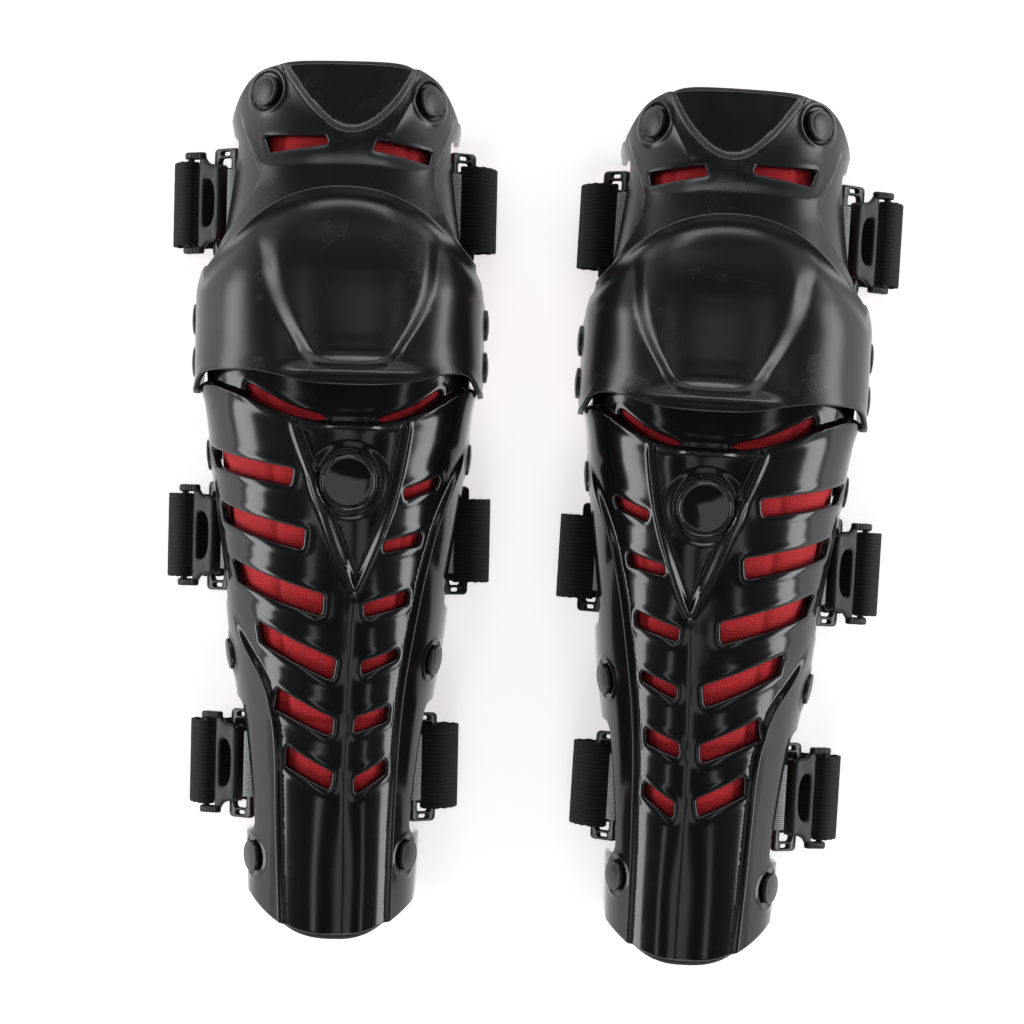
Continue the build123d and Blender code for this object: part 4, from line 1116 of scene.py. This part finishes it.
def tape(path, width, thick, y0, samples=7, across=24, edge=0.45, ripple=0.0, skew=0.0, ends=True):
    """A flat tape: a smooth line in the X-Z plane, swept across Y, with rounded selvedges."""
    p = np.array(path, float)
    pts = []
    P = np.vstack([2 * p[0] - p[1], p, 2 * p[-1] - p[-2]])
    for i in range(1, len(P) - 2):
        n = max(2, int(np.linalg.norm(P[i + 1] - P[i]) / 1.1))
        for j in range(n):
            t = j / n
            a, b, c, d = P[i - 1], P[i], P[i + 1], P[i + 2]
            pts.append(0.5 * ((2 * b) + (-a + c) * t + (2 * a - 5 * b + 4 * c - d) * t * t + (-a + 3 * b - 3 * c + d) * t**3))
    pts.append(P[-2])
    C = np.array(pts)
    T = np.gradient(C, axis=0)
    T /= np.linalg.norm(T, axis=1)[:, None]
    Nn = np.stack([-T[:, 1], T[:, 0]], -1)
    run = np.r_[0, np.cumsum(np.linalg.norm(np.diff(C, axis=0), axis=1))]
    w, h = width / 2, thick / 2
    sec = []
    ys = np.linspace(-w + edge, w - edge, across)
    sec += [(y, h) for y in ys]
    sec += [(w - edge * 0.3, h * 0.75), (w, 0), (w - edge * 0.3, -h * 0.75)]
    sec += [(y, -h) for y in ys[::-1]]
    sec += [(-w + edge * 0.3, -h * 0.75), (-w, 0), (-w + edge * 0.3, h * 0.75)]
    m = len(sec)
    verts, uv, faces = [], [], []
    for i in range(len(C)):
        for y, k in sec:
            rip = ripple * math.sin(run[i] * 0.9 + 0.3 * math.sin(y * 0.4)) * (abs(y) / w) ** 4
            verts.append((C[i, 0] + Nn[i, 0] * k, y0 + y + rip + skew * 0, C[i, 1] + Nn[i, 1] * k))
            uv.append((y + (100 if k < 0 else 0), run[i]))
    for i in range(len(C) - 1):
        for j in range(m):
            a, b = i * m + j, i * m + (j + 1) % m
            faces.append((a, b, b + m, a + m))
    faces.append(tuple(range(m))[::-1])
    faces.append(tuple(range((len(C) - 1) * m, len(C) * m)))
    return np.array(verts), faces, np.array(uv), C, Nn


def stitches(C, Nn, at, y0, half, thick, step_mm=2.6, r=0.22):
    """Short thread stitches across a tape at one place along it."""
    parts = []
    i = int(np.clip(at, 1, len(C) - 2))
    c, n = C[i], Nn[i]
    for s in (1, -1):
        y = -half + 2.0
        while y < half - 2.0:
            ax = np.array([c[0] + n[0] * s * (thick / 2 + r * 0.55), y0 + y, c[1] + n[1] * s * (thick / 2 + r * 0.55)])
            prof = [(0.0, 0.0), (r, 0.12), (r * 1.15, step_mm * 0.35), (r, step_mm * 0.62), (0.0, step_mm * 0.72)]
            parts.append(lathe(prof, ax, (0, 1, 0), 8))
            y += step_mm
    return parts


def plate(outline, holes, thick, origin, ex, ey, ez, bevel=None, grid=2.2, crown=0.0, flare=None):
    """A moulded plate from an outline with holes, in the plane (ex, ey), with rounded edges."""
    loop = resample(outline, 1.0)
    if 0.5 * np.sum(loop[:, 0] * np.roll(loop[:, 1], -1) - np.roll(loop[:, 0], -1) * loop[:, 1]) < 0:
        loop = loop[::-1]
    holes = [resample(h, 0.9) for h in holes]
    r = min(thick * 0.42, 1.2)
    rings = []
    for d in (0.3, 0.7, r + 0.1):
        for l, s in [(loop, 1)] + [(h, -1) for h in holes]:
            a = 0.5 * np.sum(l[:, 0] * np.roll(l[:, 1], -1) - np.roll(l[:, 0], -1) * l[:, 1])
            t = np.roll(l, -1, 0) - np.roll(l, 1, 0)
            t /= np.linalg.norm(t, axis=1)[:, None]
            rings.append(l + s * (1 if a > 0 else -1) * d * np.stack([-t[:, 1], t[:, 0]], -1))
    rings = np.vstack(rings)
    lo, hi = loop.min(0), loop.max(0)
    gx, gy = np.meshgrid(np.arange(lo[0], hi[0], grid), np.arange(lo[1], hi[1], grid))
    G = np.stack([gx.ravel(), gy.ravel()], -1)
    blocks = []
    for pts in (rings, G):
        ok = inside(pts, loop)
        for h in holes:
            ok &= ~inside(pts, h)
        blocks.append(pts[ok])
    pts = merge_points([np.vstack([loop] + holes)] + blocks, [0.0, 0.22, grid * 0.6])
    edges, k = [], 0
    for l in [loop] + holes:
        edges += [(k + i, k + (i + 1) % len(l)) for i in range(len(l))]
        k += len(l)
    v2, e2, f2, *_ = delaunay_2d_cdt([Vector(p) for p in pts], edges, [], 0, 1e-5)
    P = np.array([tuple(v) for v in v2])
    F = np.array([f for f in f2 if len(f) == 3])
    C = P[F].mean(1)
    ok = inside(C, loop)
    for h in holes:
        ok &= ~inside(C, h)
    F = F[ok]
    T = P[F]
    flip = (T[:, 1, 0] - T[:, 0, 0]) * (T[:, 2, 1] - T[:, 0, 1]) - (T[:, 1, 1] - T[:, 0, 1]) * (T[:, 2, 0] - T[:, 0, 0]) < 0
    F[flip] = F[flip][:, ::-1]
    d, _ = dist_line(P, loop, True)
    for h in holes:
        dh, _ = dist_line(P, h, True)
        d = np.minimum(d, dh)
    x = np.clip(r - d, 0, r)
    half = thick / 2 - (r - np.sqrt(np.maximum(r * r - x * x, 0)))
    lift = flare(P) if flare else 0 * d
    n = len(P)
    top = np.concatenate([P, (half + lift)[:, None]], 1)
    bot = np.concatenate([P, (-half + lift)[:, None]], 1)
    V = np.vstack([top, bot])
    count = {}
    for f in F:
        for i in range(3):
            count[(int(f[i]), int(f[(i + 1) % 3]))] = 1
    faces = [tuple(int(i) for i in f) for f in F] + [(int(f[2]) + n, int(f[1]) + n, int(f[0]) + n) for f in F]
    for a, b in count:
        if (b, a) not in count:
            faces.append((b, a, a + n, b + n))
    used = np.zeros(2 * n, bool)
    for f in faces:
        used[list(f)] = True
    remap = -np.ones(2 * n, int)
    remap[used] = np.arange(used.sum())
    faces = [tuple(int(remap[i]) for i in f) for f in faces]
    V = V[used]
    uv = V[:, :2].copy()
    o, ex, ey, ez = (np.array(q, float) for q in (origin, ex, ey, ez))
    W = o + V[:, :1] * ex + V[:, 1:2] * ey + V[:, 2:3] * ez
    if np.dot(np.cross(ex, ey), ez) < 0:
        faces = [tuple(reversed(f)) for f in faces]
    return W, faces, uv


def round_rect(w, h, r, cx=0.0, cy=0.0, n=6):
    out = []
    for sx, sy, a0 in ((1, 1, 0), (-1, 1, 90), (-1, -1, 180), (1, -1, 270)):
        for i in range(n + 1):
            a = math.radians(a0 + 90 * i / n)
            out.append((cx + sx * (w / 2 - r) + r * math.cos(a), cy + sy * (h / 2 - r) + r * math.sin(a)))
    return np.array(out)


PITCH, BAR, RLEN = 12.7, 4.2, 60.0
for q in stations:
    ys, top, zs = stations[q]
    parent = "thigh" if q == "upper" else "shin"
    arch_ = THIGH if q == "upper" else SHIN
    x1, z1 = bar_1(q)
    x2, z2 = bar_2(q)
    # rings
    for s, side in ((-1, "outer"), (1, "inner")):
        mid = (s * abs(x1 + x2) / 2, ys, (z1 + z2) / 2)
        along = np.array([s * abs(x2 - x1), 0, z2 - z1])
        along /= np.linalg.norm(along)
        up = np.array([-along[2] * s, 0, along[0] * s])
        out = round_rect(RLEN, PITCH + BAR, 2.6)
        window = round_rect(RLEN - 11, PITCH - BAR, 1.7)
        eye = [round_rect(2.1, 6.3, 1.0, e * (RLEN / 2 - 2.9), 0) for e in (-1, 1)]

        def barrel(P):
            return 0.35 * np.cos(P[:, 0] / RLEN * math.pi) - 0.2

        w, f, u = plate(out, [window] + eye, 4.0, mid, (0, 1, 0), along, up, flare=barrel)
        emit("%s_%s_loop" % (q, side), w, f, "%s_%s_ring" % (q, side), ring_mat, ["%s_%s_ring" % (q, side)], uv=u)
    # hook buckle
    (sx, sz), (c, sn) = buckle_frame(q)
    o = np.array([sx, ys, sz])
    eu, ev, ew = np.array([c, 0, sn]), np.array([0, 1.0, 0]), np.array([-sn, 0, c])
    body_out = [(6.6, -27.5), (8.8, -27.5), (10.0, -24.5), (12.6, -21.6), (17.2, -21.0), (19.6, -19.6), (20.2, -17.0), (20.2, 17.0), (19.6, 19.6), (17.2, 21.0), (12.6, 21.6), (10.0, 24.5), (8.8, 27.5), (6.6, 27.5), (5.7, 26.0), (5.7, -26.0)]
    win = [(9.3, -12.0), (9.3, 12.0), (10.5, 13.2), (13.2, 12.6), (15.2, 9.5), (16.0, 4.5), (16.0, -4.5), (15.2, -9.5), (13.2, -12.6), (10.5, -13.2)]

    def pl_flare(P):
        return 0.45 * np.exp(-(((np.abs(P[:, 1]) - 18.6) / 1.6) ** 2)) * (P[:, 0] > 9) + 0.35 * np.exp(-(((P[:, 0] - 18.7) / 1.0) ** 2)) - 0.12

    parts = [plate(soften(body_out, 1), [soften(win, 1)], 2.6, o, eu, ev, ew, flare=pl_flare)]
    # lip under the plate's far edge
    lip_out = [(-21.0, 0), (-19.0, -1.8), (19.0, -1.8), (21.0, 0), (21.0, 5.0), (19.2, 6.6), (-19.2, 6.6), (-21.0, 5.0)]
    parts.append(plate(lip_out, [], 2.2, o + eu * 19.1 - ew * 0.9, (0, 1, 0), -ew, eu))
    # slot bar and ears
    bar = [(0.0, -28.2), (1.2, -28.0), (1.8, -27.4), (1.9, -26.6), (1.9, 26.6), (1.8, 27.4), (1.2, 28.0), (0.0, 28.2)]
    parts.append(lathe(bar, o, (0, 1, 0), 28))
    for e in (-1, 1):
        ear = [(-3.2, -1.4), (-2.4, -2.5), (0.0, -2.9), (8.6, -2.2), (9.4, -1.2), (9.4, 1.6), (8.4, 2.4), (0.0, 2.9), (-2.4, 2.5), (-3.2, 1.4)]
        parts.append(plate(ear, [], 4.0, o + ev * e * 26.0 + ew * 0.1, eu, ew, -ev))
        # small knurl ridges on each ear
        for k in range(4):
            rp = [(0.0, -1.5), (0.28, -1.35), (0.36, 0.0), (0.28, 1.35), (0.0, 1.5)]
            parts.append(lathe(rp, o + ev * e * 26.0 + eu * (0.0 + 1.9 * k) + ew * 2.75, (0, 1, 0), 8))
    w, f, u = join(parts)
    emit("%s_buckle_hook" % q, w, f, "%s_hook_buckle" % q, buckle_mat, ["%s_hook_buckle" % q], uv=u)
    # strap
    rx, rz, lo_ = abs(x2), z2, 1.05
    path = [
        (sx - 4.6, sz - 15.0), (sx - 2.6, sz - 8.0), (sx + 1.4, sz - 3.5), (sx + 3.5, sz - 0.2), (sx + 0.6, sz + 3.4), (sx - 3.2, sz + 1.6),
        (sx - 7.4, sz - 6.0), (sx - 9.6, sz - 14.5), (sx - 8.8, 6.2), (sx - 5.0, 2.3), (sx + 0.5, lo_ + 0.12), (sx + 7.0, lo_),
        (sx + 40, lo_), (0.0, lo_), (rx - 40, lo_),
        (rx - 4.0, lo_), (rx + 3.0, lo_ + 0.12), (rx + 8.6, 2.8), (rx + 12.0, 7.6), (rx + 13.0, rz - 16.5), (rx + 10.0, rz - 5.2), (rx + 4.7, rz + 3.5),
        (rx - 0.6, rz + 5.3), (rx - 5.2, rz + 0.6), (rx - 2.7, rz - 5.0), (rx + 3.4, rz - 9.4), (rx + 6.6, rz - 15.0),
    ]
    v, f, u, C, Nn = tape(path, 46.0, 2.0, ys, ripple=0.25)
    emit("%s_elastic_band" % q, v, f, parent, elastic, ["%s_strap" % q], uv=u)
    parts = []
    for at in (5, 9, len(C) - 6, len(C) - 10):
        parts += stitches(C, Nn, at, ys, 23.0, 2.0)
    w, f, u = join(parts)
    emit("%s_band_stitching" % q, w, f, parent, thread, uv=u)
    # webbing tabs: up behind the wall, round the ring bar and back down
    tabs, sts = [], []
    for s in (-1, 1):
        leg = [(arch_.surf(arch_.u_of_z(np.array([z]), np.array([ys]), s, 6.6), np.array([ys]), 6.6)[0, 0], z) for z in (top + 9, top + 5, top + 1)]
        bx = s * abs(x1)
        around = [(bx - s * 3.9, z1 + 1.8), (bx - s * 3.2, z1 - 2.4), (bx + s * 0.6, z1 - 3.8), (bx + s * 3.7, z1 - 0.6), (bx + s * 2.5, z1 + 3.0), (bx - s * 0.6, z1 + 3.9), (bx - s * 2.2, z1 + 3.6)]
        v, f, u, C, Nn = tape(leg + around, 36.0, 1.3, ys, across=14)
        if s > 0:
            f = [tuple(reversed(q_)) for q_ in f]
        tabs.append((v, f, u))
    w, f, u = join(tabs)
    emit("%s_ring_webbing" % q, w, f, parent, grey_web, [], uv=u)

for side in ("right", "left"):
    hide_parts(side + "_thigh_webbing_tabs")
    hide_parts(side + "_shin_webbing_tabs")

# ---------------------------------------------------------------- stage, light and camera
floor_me = bpy.data.meshes.new("studio_floor")
floor_me.from_pydata([(-6, -6, 0), (6, -6, 0), (6, 6, 0), (-6, 6, 0)], [], [(0, 1, 2, 3)])
floor_ob = bpy.data.objects.new("studio_floor", floor_me)
bpy.context.collection.objects.link(floor_ob)
floor_ob.location.z = -0.0006
fm, nt, p, N, L = nodes_of("pale_floor")
p.inputs["Base Color"].default_value = (0.88, 0.88, 0.88, 1)
p.inputs["Roughness"].default_value = 0.7
p.inputs["Specular IOR Level"].default_value = 0.1
p.inputs["Emission Color"].default_value = (1, 1, 1, 1)
p.inputs["Emission Strength"].default_value = 0.62
floor_me.materials.append(fm)

world = bpy.data.worlds.new("studio")
bpy.context.scene.world = world
world.use_nodes = True
wn = world.node_tree
bg = wn.nodes["Background"]
tc = wn.nodes.new("ShaderNodeTexCoord")
sep = wn.nodes.new("ShaderNodeSeparateXYZ")
wn.links.new(tc.outputs["Generated"], sep.inputs[0])
cr = wn.nodes.new("ShaderNodeValToRGB")
cr.color_ramp.elements[0].position, cr.color_ramp.elements[0].color = 0.0, (1.0, 1.0, 1.0, 1)
cr.color_ramp.elements[1].position, cr.color_ramp.elements[1].color = 0.86, (0.055, 0.055, 0.058, 1)
k = cr.color_ramp.elements.new(0.24)
k.color = (0.95, 0.95, 0.97, 1)
k = cr.color_ramp.elements.new(0.52)
k.color = (0.20, 0.20, 0.21, 1)
wn.links.new(sep.outputs["Z"], cr.inputs["Fac"])
wn.links.new(cr.outputs["Color"], bg.inputs["Color"])
bg.inputs["Strength"].default_value = 0.75


def soft_light(name, loc, target, sx, sy, power, color=(1, 1, 1)):
    d = bpy.data.lights.new(name, "AREA")
    d.shape, d.size, d.size_y, d.energy, d.color = "RECTANGLE", sx, sy, power, color
    o = bpy.data.objects.new(name, d)
    o.location = loc
    o.rotation_mode = "QUATERNION"
    o.rotation_quaternion = (Vector(target) - Vector(loc)).to_track_quat("-Z", "Y")
    bpy.context.collection.objects.link(o)
    return o


soft_light("left_strip", (-0.80, 0.05, 1.50), (0, 0.0, 0.05), 1.7, 0.12, 1.25)
soft_light("right_strip", (0.80, 0.05, 1.50), (0, 0.0, 0.05), 1.7, 0.12, 1.1)
soft_light("left_softbox", (-1.80, 0.0, 0.55), (0, 0, 0.05), 1.9, 0.60, 20)
soft_light("right_softbox", (1.80, 0.0, 0.55), (0, 0, 0.05), 1.9, 0.60, 20)
soft_light("top_softbox", (0.0, 1.75, 0.85), (0, 0.05, 0.05), 1.5, 0.30, 9)
soft_light("overhead_softbox", (0.12, 0.62, 2.3), (0.05, 0.1, 0.05), 1.0, 0.9, 1.9)
soft_light("low_overhead_left", (-0.30, -0.98, 2.0), (-0.1, -0.1, 0.05), 0.34, 0.75, 0.75)
soft_light("low_overhead_right", (0.32, -0.98, 2.0), (0.1, -0.1, 0.05), 0.34, 0.75, 0.75)
soft_light("front_softbox", (0.0, -1.60, 1.05), (0, 0, 0.05), 0.9, 0.30, 8)

cam = bpy.data.cameras.new("camera")
cam_ob = bpy.data.objects.new("camera", cam)
bpy.context.collection.objects.link(cam_ob)
cam.sensor_width = 36.0
cam.lens = 120.0
mm_wide = 1024 * 0.5475
dist = (mm_wide / 1000) * cam.lens / cam.sensor_width
cam_ob.location = (-0.013, 0.0016, 0.045 + dist)
cam_ob.rotation_euler = (0, 0, 0)
cam.clip_start, cam.clip_end = 0.05, 50
bpy.context.scene.camera = cam_ob
bpy.context.scene.view_settings.view_transform = "Standard"
